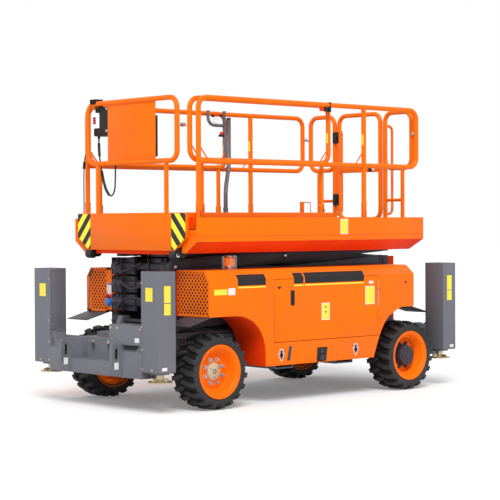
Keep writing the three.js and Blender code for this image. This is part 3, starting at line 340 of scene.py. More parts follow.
def selectWhere(obj, kind, test):  # in object mode, by faces, edges or vertices
    for part in obj.data.vertices:
        part.select = kind == "vertices" and test(part)
    for part in obj.data.edges:
        part.select = kind == "edges" and test(part)
    for part in obj.data.polygons:
        part.select = kind == "polygons" and test(part)


def block(low, high, bevel=0.003, segments=2):
    low, high = Vector(low), Vector(high)
    bpy.ops.mesh.primitive_cube_add(size=1, location=(low + high) / 2, scale=high - low)
    obj = settle(bpy.context.object)
    edit(obj)
    limit = min(high - low) * 0.45
    bpy.ops.mesh.bevel(offset=min(bevel, limit), segments=segments, affect="EDGES")
    leave()
    return obj


def rod(start, end, radius, sides=24, bevel=0.002):
    start, end = Vector(start), Vector(end)
    along = end - start
    turn = along.to_track_quat("Z", "Y").to_euler()
    bpy.ops.mesh.primitive_cylinder_add(
        vertices=sides, radius=radius, depth=along.length, location=(start + end) / 2, rotation=turn)
    obj = settle(bpy.context.object)
    if bevel:
        edit(obj, "DESELECT")
        bpy.ops.mesh.edges_select_sharp(sharpness=math.radians(70))
        bpy.ops.mesh.bevel(offset=min(bevel, radius * 0.4, along.length * 0.4), segments=2, affect="EDGES")
        leave()
    return obj


def aroundY(profile, sides):  # (radius, y) points turned about the Y axis
    return turned([(r, y, 0) for r, y in profile], (0, 0, 0), (0, 1, 0), sides)


def onCircle(radius, y, degrees):
    turn = math.radians(degrees)
    return Vector((radius * math.cos(turn), y, radius * math.sin(turn)))


def trail(points):  # a line of edges through the points
    bpy.ops.mesh.primitive_plane_add(size=0.01, location=points[0])
    obj = bpy.context.object
    edit(obj)
    bpy.ops.mesh.merge(type="CENTER")
    for before, after in zip(points, points[1:]):
        bpy.ops.mesh.extrude_region_move(TRANSFORM_OT_translate={"value": Vector(after) - Vector(before)})
    leave()
    return settle(obj)


def edgeCounts(obj):
    counts = [0] * len(obj.data.vertices)
    for edge in obj.data.edges:
        for i in edge.vertices:
            counts[i] += 1
    return counts


def closeTrail(obj):
    counts = edgeCounts(obj)
    selectWhere(obj, "vertices", lambda v: counts[v.index] == 1)
    pick(obj)
    bpy.ops.object.mode_set(mode="EDIT")
    bpy.ops.mesh.edge_face_add()
    leave()


def pipe(points, radius, bend=0.09, closed=False, resolution=3, steps=6):
    obj = trail(points)
    if closed:
        closeTrail(obj)
    if bend:
        counts = edgeCounts(obj)
        selectWhere(obj, "vertices", lambda v: counts[v.index] == 2)
        pick(obj)
        bpy.ops.object.mode_set(mode="EDIT")
        bpy.ops.mesh.select_mode(type="VERT")
        bpy.ops.mesh.bevel(offset=bend, segments=steps, affect="VERTICES")
        leave()
    pick(obj)
    bpy.ops.object.convert(target="CURVE")
    obj = bpy.context.object
    obj.data.bevel_depth = radius
    obj.data.bevel_resolution = resolution
    obj.data.use_fill_caps = True
    bpy.ops.object.convert(target="MESH")
    return bpy.context.object


def plate(points, depth, bevel=0.002, segments=2):  # an outline, pushed along depth
    obj = trail(points)
    closeTrail(obj)
    edit(obj)
    bpy.ops.mesh.edge_face_add()
    bpy.ops.mesh.extrude_region_move(TRANSFORM_OT_translate={"value": depth})
    bpy.ops.mesh.select_all(action="SELECT")
    bpy.ops.mesh.normals_make_consistent(inside=False)
    if bevel:
        bpy.ops.mesh.select_all(action="DESELECT")
        bpy.ops.mesh.edges_select_sharp(sharpness=math.radians(30))
        bpy.ops.mesh.bevel(offset=bevel, segments=segments, affect="EDGES")
    leave()
    return obj


def turned(profile, centre, axis, sides=48):  # profile points are in one plane with the axis
    obj = trail(profile)
    edit(obj)
    bpy.ops.mesh.spin(steps=sides, angle=2 * math.pi, center=centre, axis=axis)
    bpy.ops.mesh.select_all(action="SELECT")
    bpy.ops.mesh.remove_doubles(threshold=0.00005)
    bpy.ops.mesh.normals_make_consistent(inside=False)
    leave()
    return obj


def cadCopy(name, bevel=0.003, segments=2):
    data = nodes[name].data.copy()
    data.materials.clear()
    obj = bpy.data.objects.new(name + "Copy", data)
    scene.collection.objects.link(obj)
    edit(obj)
    bpy.ops.mesh.remove_doubles(threshold=0.00002)
    bpy.ops.mesh.dissolve_limited(angle_limit=math.radians(0.5))
    leave()
    if bevel:
        modify(obj, "BEVEL", width=bevel, segments=segments, limit_method="ANGLE",
               angle_limit=math.radians(40), use_clamp_overlap=True)
    return obj


def copied(obj, matrix):
    twin = bpy.data.objects.new(obj.name + "Twin", obj.data.copy())
    scene.collection.objects.link(twin)
    twin.data.transform(matrix)
    if matrix.determinant() < 0:
        twin.data.flip_normals()
    return twin


def shifted(obj, x=0, y=0, z=0):
    return copied(obj, Matrix.Translation((x, y, z)))


def flipped(obj, axis="y"):
    size = Vector((-1 if axis == "x" else 1, -1 if axis == "y" else 1, 1))
    return copied(obj, Matrix.Diagonal(size).to_4x4())


def merged(*parts):
    parts = [p for group in parts for p in (group if isinstance(group, list) else [group])]
    if len(parts) > 1:
        pick(*parts)
        bpy.ops.object.join()
    return parts[0]


def painted(obj, finish):
    obj.data.materials.clear()
    obj.data.materials.append(finishes[finish])
    return obj


def tag(low, high, finish, edge=0.0008):  # a thin plate, badge or strip
    return painted(block(low, high, edge, 1), finish)


def finished(obj, name, body, stands=(), angle=35):
    obj.name = name
    obj.data.name = name
    pick(obj)
    bpy.ops.object.shade_smooth_by_angle(angle=math.radians(angle))
    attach(obj, body)
    if stands:
        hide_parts(*stands)
    return obj


def repainted(obj, finish, test):  # another finish on some of its faces
    obj.data.materials.append(finishes[finish])
    slot = len(obj.data.materials) - 1
    for face in obj.data.polygons:
        if test(face.center, face.normal):
            face.material_index = slot
    return obj


def boltHead(at, axis, size=0.011, height=0.008):
    axis = Vector(axis)
    washer = rod(Vector(at), Vector(at) + axis * height * 0.25, size * 1.35, sides=16, bevel=0)
    head = rod(Vector(at), Vector(at) + axis * height, size, sides=6, bevel=0.0012)
    return merged(washer, head)


print("wheels")
axleX = {"front": -0.02 + 1.2115, "rear": -0.02 - 1.2115}
wheelSettings = {"y": 0.740, "z": 0.33}
tyreSettings = {
    "radius": 0.33, "carcass": 0.303, "lugs": 19, "lugWidth": 0.046, "sides": 72,
    "wall": [(0.2065, 0.116), (0.214, 0.128), (0.228, 0.131), (0.238, 0.134), (0.252, 0.1415), (0.268, 0.1445),
             (0.284, 0.142), (0.296, 0.131)],
    "inside": [(0.2065, 0.108), (0.24, 0.112), (0.28, 0.1), (0.29, 0.06), (0.29, 0)],
    "bead": [(0.236, 0.1345), (0.2385, 0.1375), (0.242, 0.1345), (0.236, 0.1345)],
}


def makeTyre():
    t = tyreSettings
    crown = t["carcass"]
    side = t["wall"] + [(crown, 0.112), (crown + 0.001, 0.06), (crown + 0.002, 0)]
    ring = side + [(r, -y) for r, y in reversed(side[:-1])]
    back = [(r, -y) for r, y in t["inside"]] + [(r, y) for r, y in reversed(t["inside"][:-1])]
    profile = ring + back
    return aroundY(profile + [profile[0]], t["sides"])


def makeLug():
    t = tyreSettings
    top, root, w = t["radius"] - 0.0006, t["carcass"] - 0.006, t["lugWidth"]
    outline = [  # seen from outside, along Y then round the tyre
        (0.145, -w * 0.62), (0.145, w * 0.42), (0.085, w * 0.62), (0.006, w * 1.18),
        (-0.012, w * 1.1), (-0.012, w * 0.42), (0.03, w * 0.0), (0.08, -w * 0.42),
    ]
    points = [(root, y, s) for y, s in outline]
    lug = plate(points, (top - root, 0, 0), bevel=0)
    selectWhere(lug, "polygons", lambda f: f.normal.x > 0.9)
    pick(lug)
    bpy.ops.object.mode_set(mode="EDIT")
    bpy.ops.transform.resize(value=(1, 0.95, 0.86), center_override=(top, 0.07, 0.01))
    bpy.ops.mesh.select_all(action="DESELECT")
    bpy.ops.mesh.edges_select_sharp(sharpness=math.radians(35))
    bpy.ops.mesh.bevel(offset=0.0035, segments=2, affect="EDGES")
    leave()
    for v in lug.data.vertices:  # wrapped round the carcass, with the shoulder drawn in
        r, s = v.co.x, v.co.z
        drop = max(0, abs(v.co.y) - 0.118) * 0.62
        r = r - drop if r > root + 0.005 else r - drop * 0.9
        turn = s / t["radius"]
        v.co = Vector((r * math.cos(turn), v.co.y, r * math.sin(turn)))
    shoulder = plate(
        [(t["carcass"] - 0.045, 0.1405, -w * 0.34), (t["carcass"] - 0.045, 0.1405, w * 0.2),
         (t["carcass"] + 0.009, 0.1405, w * 0.42), (t["carcass"] + 0.009, 0.1405, -w * 0.6)],
        (0, 0.0042, 0), bevel=0.002)
    return merged(lug, shoulder)


def makeWheelTyre():
    t = tyreSettings
    carcass = painted(makeTyre(), "rubber")
    # the tread between the lugs is darker: painted shade in the grooves
    repainted(carcass, "grooveShadeRubber", lambda c, n: math.hypot(c.x, c.z) > t["carcass"] - 0.006)
    lug = makeLug()
    other = copied(lug, Matrix.Rotation(math.pi / t["lugs"], 4, "Y") @ Matrix.Diagonal((1, -1, 1, 1)))
    painted(lug, "rubber")
    painted(other, "rubber")
    parts = [carcass]
    for i in range(t["lugs"]):
        turn = Matrix.Rotation(2 * math.pi * i / t["lugs"], 4, "Y")
        parts += [copied(lug, turn), copied(other, turn)]
    bead = painted(aroundY(t["bead"], t["sides"]), "rubber")
    tyre = merged(parts + [bead, flipped(bead)])
    bpy.data.objects.remove(lug)
    bpy.data.objects.remove(other)
    return tyre


rimSettings = {  # (radius, y) profiles; the dish and the hubs stand on the disc
    "disc": {"front": 0.046, "rear": 0.046 - 0.016}, "bolts": 8,
    "boltCircle": {"front": 0.108, "rear": 0.108 + 0.014},
    "dish": [(0.0, 0), (0.132, 0), (0.14, -0.003), (0.15, -0.006), (0.158, -0.002)],
    "bowl": [(0.162, 0.056), (0.168, 0.062), (0.171, 0.078), (0.178, 0.082), (0.181, 0.096), (0.188, 0.1),
             (0.191, 0.114), (0.2, 0.121), (0.204, 0.129), (0.2225, 0.134), (0.226, 0.1395), (0.2345, 0.1395),
             (0.2347, 0.131), (0.2065, 0.117), (0.206, 0.104), (0.2, 0.08), (0.2, -0.08), (0.206, -0.104),
             (0.2065, -0.117), (0.2347, -0.131), (0.2345, -0.1395), (0.226, -0.1395), (0.2245, -0.13),
             (0.197, -0.118), (0.19, -0.04)],
    "back": [(0.18, -0.024), (0.06, -0.022), (0.0, -0.022)],
    "hub": {"front": [(0, 0.018), (0.07, 0.018), (0.0745, 0.015), (0.076, 0.009), (0.08, 0.007),
                      (0.081, -0.002), (0, -0.002)],
            "rear": [(0, 0.082), (0.03, 0.082), (0.034, 0.076), (0.086, 0.074), (0.095, 0.068), (0.098, 0.058),
                     (0.1, 0.012), (0.108, 0.01), (0.108, -0.002), (0, -0.002)]},
    # the rear wheels' nuts are dark grey as painted shade deep in the dish; the front ones are silver
    "hubFinish": {"front": "zinc", "rear": "armPaint"}, "nutFinishAndShade": {"front": "silver", "rear": "darkGreyPaint"},
    "ring": [(0.014, 0.017), (0.014, 0.021), (0.02, 0.021), (0.02, 0.017), (0.014, 0.017)],
}


def makeRim(end):
    r = rimSettings
    disc, circle = r["disc"][end], r["boltCircle"][end]

    def onDisc(name):
        points = r[name][end] if name == "hub" else r[name]
        return [(a, disc + y) for a, y in points]

    parts = [painted(aroundY(onDisc("dish") + r["bowl"] + onDisc("back"), 64), "orangePaint")]
    nut = merged(rod((circle, disc - 0.001, 0), (circle, disc + 0.003, 0), 0.0185, 20, 0.001),
                 rod((circle, disc, 0), (circle, disc + 0.019, 0), 0.015, 6, 0.002),
                 rod((circle, disc, 0), (circle, disc + 0.03, 0), 0.006, 12, 0.001))
    painted(nut, r["nutFinishAndShade"][end])
    for i in range(r["bolts"]):
        parts.append(copied(nut, Matrix.Rotation(2 * math.pi * (i + 0.5) / r["bolts"], 4, "Y")))
    bpy.data.objects.remove(nut)
    parts.append(painted(aroundY(onDisc("hub"), 48), r["hubFinish"][end]))
    if end == "front":  # cap with three screws and a ring
        details = [rod(onCircle(0.052, disc + 0.0175, a), onCircle(0.052, disc + 0.021, a), 0.0055, 12, 0.001)
                   for a in (28.6479, 148.969, 269.290)]
        details.append(aroundY(onDisc("ring"), 24))
    else:
        details = [rod(onCircle(0.066, disc + 0.073, 45 * i), onCircle(0.066, disc + 0.081, 45 * i), 0.008, 6, 0.001)
                   for i in range(8)]
    parts.append(painted(merged(details), "darkGreyPaint"))
    valve = rod((0.17, disc - 0.01, 0.02), (0.172, disc + 0.03, 0.022), 0.004, 10, 0.001)
    parts.append(painted(valve, "blackPlastic"))
    top = disc - 0.02
    barrel = aroundY([(0.031, top), (0.062, top), (0.062, -0.06), (0.031, -0.06), (0.031, top)], 32)
    parts.append(painted(barrel, "armPaint"))
    return merged(parts)


tyreModel = makeWheelTyre()
rimModels = {end: makeRim(end) for end in ("front", "rear")}
for end in ("front", "rear"):
    for side, way in (("left", 1), ("right", -1)):
        place = Matrix.Translation((axleX[end], way * wheelSettings["y"], wheelSettings["z"]))
        turn = Matrix.Identity(4) if way > 0 else Matrix.Rotation(math.pi, 4, "Z")
        name = end + "_" + side
        finished(copied(tyreModel, place @ turn), name + "TyreSkin", name + "_wheel", [name + "_tyre"])
        finished(copied(rimModels[end], place @ turn), name + "RimSkin", name + "_wheel", [name + "_rim"])
for model in [tyreModel, *rimModels.values()]:
    bpy.data.objects.remove(model)

print("plate work")
plateWork = {  # node: body, finish, edge roll
    "chassis_frame": ("chassis", "greyPaint", 0.004),
    "front_bumper": ("chassis", "greyPaint", 0.004),
    "rear_bumper": ("chassis", "greyPaint", 0.004),
    "front_axle": ("chassis", "armPaint", 0.003),
    "rear_axle": ("chassis", "armPaint", 0.003),
    "engine_block": ("chassis", "armPaint", 0.01),
    "hydraulic_tank": ("chassis", "armPaint", 0.01),
    "steering_tie_rod": ("tie_rod", "silver", 0.001),
    "main_deck": ("platform", "orangePaint", 0.0015),
    "extension_deck": ("extension", "orangePaint", 0.002),
    "junction_box": ("extension", "blackPlastic", 0.004),
    "document_box": ("extension", "blackPlastic", 0.0015),
}
for side in ("left", "right"):
    plateWork[side + "_side_cover"] = ("chassis", "orangePaint", 0.0025)
    plateWork[side + "_service_door"] = (side + "_door", "orangePaint", 0.003)
    plateWork[side + "_steering_knuckle"] = (side + "_knuckle", "armPaint", 0.003)
    for end in ("front", "rear"):
        plateWork[f"{end}_{side}_outrigger"] = ("chassis", "greyPaint", 0.006)
for level in (1, 2, 3, 4):
    plateWork[f"outer_arms_{level}"] = (f"outer_{level}", "armPaint", 0.006)
    plateWork[f"inner_arms_{level}"] = (f"inner_{level}", "armPaint", 0.006)


legFaceY = 0.894  # just inside the legs' outer faces


def scribed(skin, finish, inside, cuts):  # a plate drawn on a face, cut along its edges
    for place, normal in cuts:
        pick(skin)
        scene.tool_settings.mesh_select_mode = (False, False, True)
        selectWhere(skin, "polygons", inside)
        bpy.ops.object.mode_set(mode="EDIT")
        bpy.ops.mesh.bisect(plane_co=place, plane_no=normal)
        leave()
    (x0, _, _), (x1, _, _), (_, _, z0), (_, _, z1) = [place for place, normal in cuts]

    def onPlate(c, n):
        return x0 < c.x < x1 and z0 < c.z < z1 and abs(c.y) > legFaceY and abs(n.y) > 0.9

    return repainted(skin, finish, onPlate)


legX = 1.698  # inner edge of an outrigger leg
legPlates = {  # finish: from the leg's edge and the ground, low then high
    "yellowPlate": ((0.055, 0.945, 0.125, 1.085), (0.055, 0.842, 0.125, 0.937)),
    "whitePlate": ((0.095, 0.378, 0.15, 0.405),),
}
deckFloors = {"main_deck": 1.55, "extension_deck": 1.5766}
for node, (body, finish, roll) in plateWork.items():
    skin = painted(cadCopy(node, roll), finish)
    if node in deckFloors:
        level = deckFloors[node]
        repainted(skin, "deckPlate", lambda c, n: n.z > 0.9 and abs(c.z - level) < 0.004)
    if node == "extension_deck":
        repainted(skin, "blackPlastic", lambda c, n: c.z < 1.369 and abs(abs(c.y) - 0.6) < 0.06)
    if node == "main_deck":
        # the undersides of the deck's side skirts are red-orange: painted shade
        repainted(skin, "redOrangePaint", lambda c, n: n.z < -0.3 and abs(c.y) > 0.7 and c.z > 1.34)
        repainted(skin, "armPaint", lambda c, n: abs(c.y) < 0.5 and c.z < 1.49)
    if node.endswith("side_cover"):
        repainted(skin, "darkGreyPaint", lambda c, n: abs(c.x + 0.007) > 1.31 and c.z < 0.83)
        repainted(skin, "redOrangePaint",  # inside the wheel arches, red-orange as painted shade
                  lambda c, n: abs(n.y) < 0.3 and 0.345 < c.z < 0.802 and 0.5 < abs(c.x) < 1.29)
    if node.endswith("_outrigger"):
        way = 1 if "front" in node else -1
        for plateFinish, boxes in legPlates.items():
            for a, z0, b, z1 in boxes:
                x0, x1 = sorted((way * (legX + a), way * (legX + b)))
                cuts = [((x0, 0, 0), (1, 0, 0)), ((x1, 0, 0), (1, 0, 0)),
                        ((0, 0, z0), (0, 0, 1)), ((0, 0, z1), (0, 0, 1))]
                scribed(skin, plateFinish, lambda f: abs(f.center.y) > legFaceY, cuts)
    finished(skin, node + "_skin", body, [node], angle=30)

print("guard rails")
railSettings = {
    "radius": 0.023, "side": 0.79, "front": 1.35, "rear": -1.424, "mid": 2.14, "top": 2.687,
    "floor": 1.5503, "post": -0.69, "socketTop": 1.80, "brace": 0.0065, "braceReach": (0.12, 0.145),
}
socketSettings = {"radius": 0.0255, "foot": 0.012, "pin": 0.006, "slot": (0.118, 0.168)}


def makeSocket(x, y, floor, top):  # round foot with its slot and pin
    s = socketSettings
    r, foot, (slotLow, slotHigh) = s["radius"], s["foot"], s["slot"]
    profile = [(0, floor), (r + foot, floor), (r + foot, floor + 0.006), (r, floor + 0.008), (r, top - 0.003),
               (r - 0.0025, top), (0, top)]
    sleeve = turned([(x + a, y, z) for a, z in profile], (x, y, 0), (0, 0, 1), 28)
    painted(sleeve, "orangePaint")
    pin = rod((x - r - 0.007, y, top - 0.012), (x + r + 0.007, y, top - 0.012), s["pin"], 12, 0.001)
    way = 1 if y > 0 else -1
    slot = block((x - 0.006, y + way * (r - 0.002), floor + slotLow),
                 (x + 0.006, y + way * (r + 0.0015), floor + slotHigh), 0.0015, 1)
    return merged(sleeve, painted(pin, "zinc"), painted(slot, "redPlastic"))


def makeSideRail():
    r = railSettings
    y, (run, rise) = r["side"], r["braceReach"]
    parts = [
        pipe([(r["front"], y, r["floor"]), (r["front"], y, r["top"]), (r["rear"], y, r["top"]),
              (r["rear"], y, r["mid"]), (r["front"], y, r["mid"])], r["radius"]),
        pipe([(r["post"], y, r["floor"]), (r["post"], y, r["top"])], r["radius"], bend=0),
        pipe([(r["front"], y, r["mid"] + rise), (r["front"] - run, y, r["mid"])], r["brace"], bend=0),
        pipe([(r["post"], y, r["mid"] + rise), (r["post"] + run, y, r["mid"])], r["brace"], bend=0),
    ]
    rails = painted(merged(parts), "orangePaint")
    sockets = [makeSocket(x, y, r["floor"], r["socketTop"]) for x in (r["front"], r["post"])]
    badge = tag((r["post"] + 0.016, y - 0.014, 2.33), (r["post"] + 0.0245, y + 0.014, 2.43), "yellowPlate", 0.002)
    return merged(rails, sockets, badge)


railCatch = (  # where the extension's rails lock to the left side rail
    ((-0.24, 0.77, 2.622), (-0.215, 0.812, 2.712), "blackPlastic", 0.003),
    ((-0.21, 0.775, 2.628), (-0.155, 0.805, 2.667), "blackPlastic", 0.006),
    ((-0.152, 0.78, 2.628), (-0.112, 0.80, 2.667), "redOrangePaint", 0.003),
)
sideRail = makeSideRail()
rightRail = flipped(sideRail)
finished(merged(sideRail, [tag(*part) for part in railCatch]), "leftRailPipes", "platform", ["left_guardrail"])
finished(rightRail, "rightRailPipes", "platform", ["right_guardrail"])

fenceSettings = {
    "x": -1.458, "post": 0.35, "outer": 0.70, "outerPost": 0.58, "thin": 0.020, "floor": 1.6103, "step": 1.826,
    "grab": (1.69, 2.56), "grabReach": 0.1, "grabRadius": 0.013, "stepRadius": 0.016,
    "hingeX": -1.434, "hingeY": -0.314, "hingeZ": (1.84, 2.47), "latch": 2.465, "latchEnd": (0.765, 0.748),
}


def makeFence(way):
    f, r = fenceSettings, railSettings
    x = f["x"]
    post, outer, outerPost = way * f["post"], way * f["outer"], way * f["outerPost"]
    reach, (low, high) = x - f["grabReach"], f["grab"]
    grab = [(x, low), (reach, low), (reach, high), (x, high)]
    parts = [
        pipe([(x, post, r["mid"]), (x, post, r["top"]), (x, outer, r["top"]), (x, outer, r["mid"])],
             r["radius"], closed=True),
        pipe([(x, post, f["floor"]), (x, post, r["mid"] + 0.09)], r["radius"], bend=0),
        pipe([(x, outerPost, f["floor"]), (x, outerPost, r["mid"])], f["thin"], bend=0),
        pipe([(x, post, f["step"]), (x, outerPost, f["step"])], f["stepRadius"], bend=0),
        pipe([(a, post, z) for a, z in grab], f["grabRadius"], bend=0.05),
    ]
    for y in (post, outerPost):
        parts.append(block((x - 0.02, y - 0.035, f["floor"]), (x + 0.018, y + 0.035, f["floor"] + 0.008)))
    fence = painted(merged(parts), "orangePaint")
    z, latchY, (latchEnd, collarEnd) = f["latch"], way * (f["outer"] + 0.0235), f["latchEnd"]
    latch = rod((x, latchY, z), (x + 0.034, way * latchEnd, z), 0.014, 16)
    collar = rod((x + 0.008, latchY + way * 0.008, z), (x + 0.02, way * collarEnd, z), 0.021, 16)
    fence = merged(fence, painted(latch, "silver"), painted(collar, "silver"))
    if way < 0:
        fence = merged(fence, makeHingeHalves())
    return fence


def makeHingeHalves():  # the gate's hinges, on the right rail's post
    f = fenceSettings
    x, hx, hy = f["x"], f["hingeX"], f["hingeY"]
    parts = []
    for z in f["hingeZ"]:
        parts += [block((x + 0.01, -f["post"], z + rise), (hx + 0.012, hy + 0.0044, z + rise + 0.008))
                  for rise in (0.0256, -0.0336)]
        parts.append(block((x + 0.02, hy - 0.045, z - 0.055), (x + 0.028, hy + 0.04, z + 0.055), 0.012))
        parts += [rod((x + 0.022, y, z + rise), (x + 0.036, y, z + rise), 0.007, 12)
                  for y in (hy - 0.012, hy + 0.018) for rise in (-0.052, 0.052)]
    return painted(merged(parts), "blackPlastic")


finished(makeFence(1), "rearLeftRailPipes", "platform", ["rear_left_guardrail"])
finished(makeFence(-1), "rearRightRailPipes", "platform", ["rear_right_guardrail"])

gateSettings = {"half": 0.286, "low": 1.639, "board": (0.014, 0.032), "lock": (0.145, 0.185), "label": (0.188, 0.215)}


def makeGate():
    g, f, r = gateSettings, fenceSettings, railSettings
    x, half, low, (thick, rise) = f["x"], g["half"], g["low"], g["board"]
    gate = painted(merged(
        pipe([(x, -half, low), (x, -half, r["top"]), (x, half, r["top"]), (x, half, low)], r["radius"], closed=True),
        block((x - thick, -half, r["mid"] - rise), (x + thick, half, r["mid"] + rise), 0.004)), "orangePaint")
    hx, hy, fittings = f["hingeX"], f["hingeY"], []
    for z in f["hingeZ"]:
        fittings.append(rod((hx, hy, z - 0.025), (hx, hy, z + 0.025), 0.012, 20))
        fittings.append(block((hx - 0.008, hy, z - 0.023), (hx + 0.004, -half, z + 0.023), 0.002))
    y0, y1 = g["lock"]
    fittings.append(block((x + thick, y0, r["mid"] - 0.02), (x + 0.034, y1, r["mid"] + 0.022), 0.005))
    y0, y1 = g["label"]
    label = tag((x + thick, y0, r["mid"] - 0.016), (x + 0.026, y1, r["mid"] + 0.02), "whitePlate", 0.002)
    return merged(gate, painted(merged(fittings), "blackPlastic"), label)


finished(makeGate(), "entryGatePipes", "gate", ["entry_gate"])

extensionSettings = {
    "rear": -0.287, "front": 1.389, "low": 2.153, "top": 2.683, "side": 0.722, "floor": 1.5769,
    "posts": (1.258, -0.197), "thin": 0.020, "socketTop": 1.7769, "faceX": 1.456, "faceHalf": 0.633,
    "faceLow": 2.149, "faceTop": 2.693, "faceFoot": 1.7003, "facePost": 0.485, "panel": 0.338, "latch": 2.452,
    "faceBrace": (0.13, 0.11), "rivets": ((0.06, 2.53), (0.24, 2.53), (0.24, 2.34)),
}


def makeExtensionSide():
    e, r = extensionSettings, railSettings
    y, (run, rise), front, rear, low, top = e["side"], r["braceReach"], e["front"], e["rear"], e["low"], e["top"]
    parts = [
        pipe([(front, y, low), (front, y, top), (rear, y, top), (rear, y, low)], r["radius"], closed=True),
        pipe([(front - run, y, low), (front, y, low + rise)], r["brace"], bend=0),
        pipe([(rear + run, y, low), (rear, y, low + rise)], r["brace"], bend=0),
    ]
    parts += [pipe([(x, y, e["floor"]), (x, y, e["low"])], e["thin"], bend=0) for x in e["posts"]]
    rails = painted(merged(parts), "orangePaint")
    sockets = [makeSocket(x, y, e["floor"], e["socketTop"]) for x in e["posts"]]
    badge = tag((e["rear"] + 0.016, y - 0.014, 2.34), (e["rear"] + 0.0245, y + 0.014, 2.43), "yellowPlate", 0.002)
    return merged(rails, sockets, badge)


def makeExtensionFace():
    e, r = extensionSettings, railSettings
    x, half, (rise, run) = e["faceX"], e["faceHalf"], e["faceBrace"]
    parts = [
        pipe([(x, -half, e["faceLow"]), (x, -half, e["faceTop"]), (x, half, e["faceTop"]), (x, half, e["faceLow"])],
             r["radius"], closed=True),
        pipe([(x, e["facePost"], e["faceFoot"]), (x, e["facePost"], e["faceLow"])], e["thin"], bend=0),
        pipe([(x, -e["facePost"], e["faceFoot"]), (x, -e["facePost"], e["faceLow"])], r["radius"], bend=0),
        block((x - 0.004, -e["panel"], e["faceLow"]), (x + 0.004, e["panel"], e["faceTop"]), 0.0015),
        pipe([(x, -half, e["faceLow"] + rise), (x, -half + run, e["faceLow"])], r["brace"], bend=0),
    ]
    face = painted(merged(parts), "orangePaint")
    pins, clips, tips = [], [], []
    for way in (1, -1):
        a = Vector((x, way * half, e["latch"]))
        b = Vector((e["front"], way * e["side"], e["latch"]))
        pins.append(rod(a, b, 0.011, 16))
        clips.append(rod(a + (b - a) * 0.3, a + (b - a) * 0.52, 0.0175, 16))
        tips.append(rod(a + (b - a) * 0.56, a + (b - a) * 0.68, 0.0155, 16))
    rivets = [boltHead((x + 0.004, y, z), (1, 0, 0), 0.007, 0.004) for y, z in e["rivets"]]
    return merged(face, painted(merged(pins), "silver"), painted(merged(clips), "greyPaint"),
                  painted(merged(tips), "redOrangePaint"), painted(merged(rivets), "orangePaint"))


extensionSide = makeExtensionSide()
extensionRails = merged(extensionSide, flipped(extensionSide), makeExtensionFace())
finished(extensionRails, "extensionRailPipes", "extension", ["extension_guardrail"])

print("extension fittings")
frontPlateSettings = {"x": 1.480, "half": 0.768, "low": 1.371, "high": 1.70, "corner": (0.149, 0.114), "width": 0.19}


def makeHazardBlock():
    f = frontPlateSettings
    x, outer, inner = f["x"], f["half"] - 0.001, f["half"] - f["width"]
    low, high = f["low"] + 0.008, f["high"] - 0.006
    corner = (f["half"] - f["corner"][0], f["low"] + f["corner"][1])
    outline = [(x, inner, low), (x, corner[0] + 0.004, low), (x, outer, corner[1] - 0.001),
               (x, outer, high), (x, inner, high)]
    return painted(plate(outline, (0.0012, 0, 0), 0.0003, 1), "hazardStripes")


rollerSettings = {"y": (0.562, 0.64), "radius": 0.0405, "second": 0.036, "apart": 0.065}


def makeRollers():
    f, r = frontPlateSettings, rollerSettings
    z, x, (y0, y1) = f["low"] - 0.038, f["x"] - 0.022, r["y"]
    tread = rod((x, y0, z), (x, y1, z), r["radius"], 36, 0.008)
    face = rod((x, y1 - 0.002, z), (x, y1 + 0.0025, z), 0.022, 24, 0.002)
    nut = boltHead((x, y1 + 0.002, z), (0, 1, 0), 0.01, 0.007)
    behind = x - r["apart"]
    second = rod((behind, y0 + 0.004, z + 0.008), (behind, y1 - 0.004, z + 0.008), r["second"], 32, 0.007)
    cheek = block((x - 0.09, y1 + 0.003, z - 0.004), (x + 0.012, y1 + 0.012, z + 0.062), 0.004)
    return merged(painted(merged(tread, second), "rubber"), painted(merged(face, nut), "silver"),
                  painted(cheek, "blackPlastic"))


deckEndSettings = {
    "lipHalf": 0.53, "flangeX": (1.384, 1.4435), "flangeShade": (0.7555, 0.7572, 1.578, 1.662),
    "flangeDarkShade": (0.748, 0.7575, 1.50, 1.556), "skirtX": 1.431, "skirtThick": 0.006,
    "skirt": ((0.866, 1.50), (0.866, 1.449), (0.722, 1.350), (0.665, 1.350), (0.665, 1.50)),
}


def makeDeckLip():
    f, half = frontPlateSettings, deckEndSettings["lipHalf"]
    # the lip under the front plate is red-orange: painted shade
    lip = block((f["x"] - 0.04, -half, f["low"] - 0.034), (f["x"] - 0.028, half, f["low"] + 0.01), 0.003)
    return painted(lip, "redOrangePaint")


# strips on the extension's side flange, red-orange above and black below: painted shade
def makeFlangeEnd():
    d = deckEndSettings
    x0, x1 = d["flangeX"]
    pieces = []
    for key, finish, edge in (("flangeShade", "redOrangePaint", 0.0005), ("flangeDarkShade", "blackPlastic", 0.001)):
        y0, y1, z0, z1 = d[key]
        pieces.append(tag((x0, y0, z0), (x1, y1, z1), finish, edge))
    return merged(pieces)


def makeDeckEnd():  # closes the main deck's slanted skirt at its front
    d = deckEndSettings
    outline = [(d["skirtX"], y, z) for y, z in d["skirt"]]
    return painted(plate(outline, (d["skirtThick"], 0, 0), 0.0012, 1), "orangePaint")


deckEnd = makeDeckEnd()
finished(merged(deckEnd, flipped(deckEnd)), "deckEndPlates", "platform")
sides = [makeHazardBlock(), makeRollers(), makeFlangeEnd()]
finished(merged(makeDeckLip(), sides, [flipped(side) for side in sides]), "frontPlateTrim", "extension")

controlSettings = {
    "x": (1.2827, 1.4327), "y": (-0.596, -0.372), "z": (2.402, 2.665), "hookY": (-0.574, -0.49),
    "hookX": (1.3927, 1.479), "capZ": (2.7175, 2.735), "ribs": 9,
    "stick": (-0.44, 2.55), "stop": (-0.395, 2.62), "switches": (-0.47, -0.435, -0.4), "switchZ": 2.49,
    "alarmX": (1.392, 1.418), "alarmY": (-0.618, -0.6), "alarmZ": (2.515, 2.537, 2.559),
}


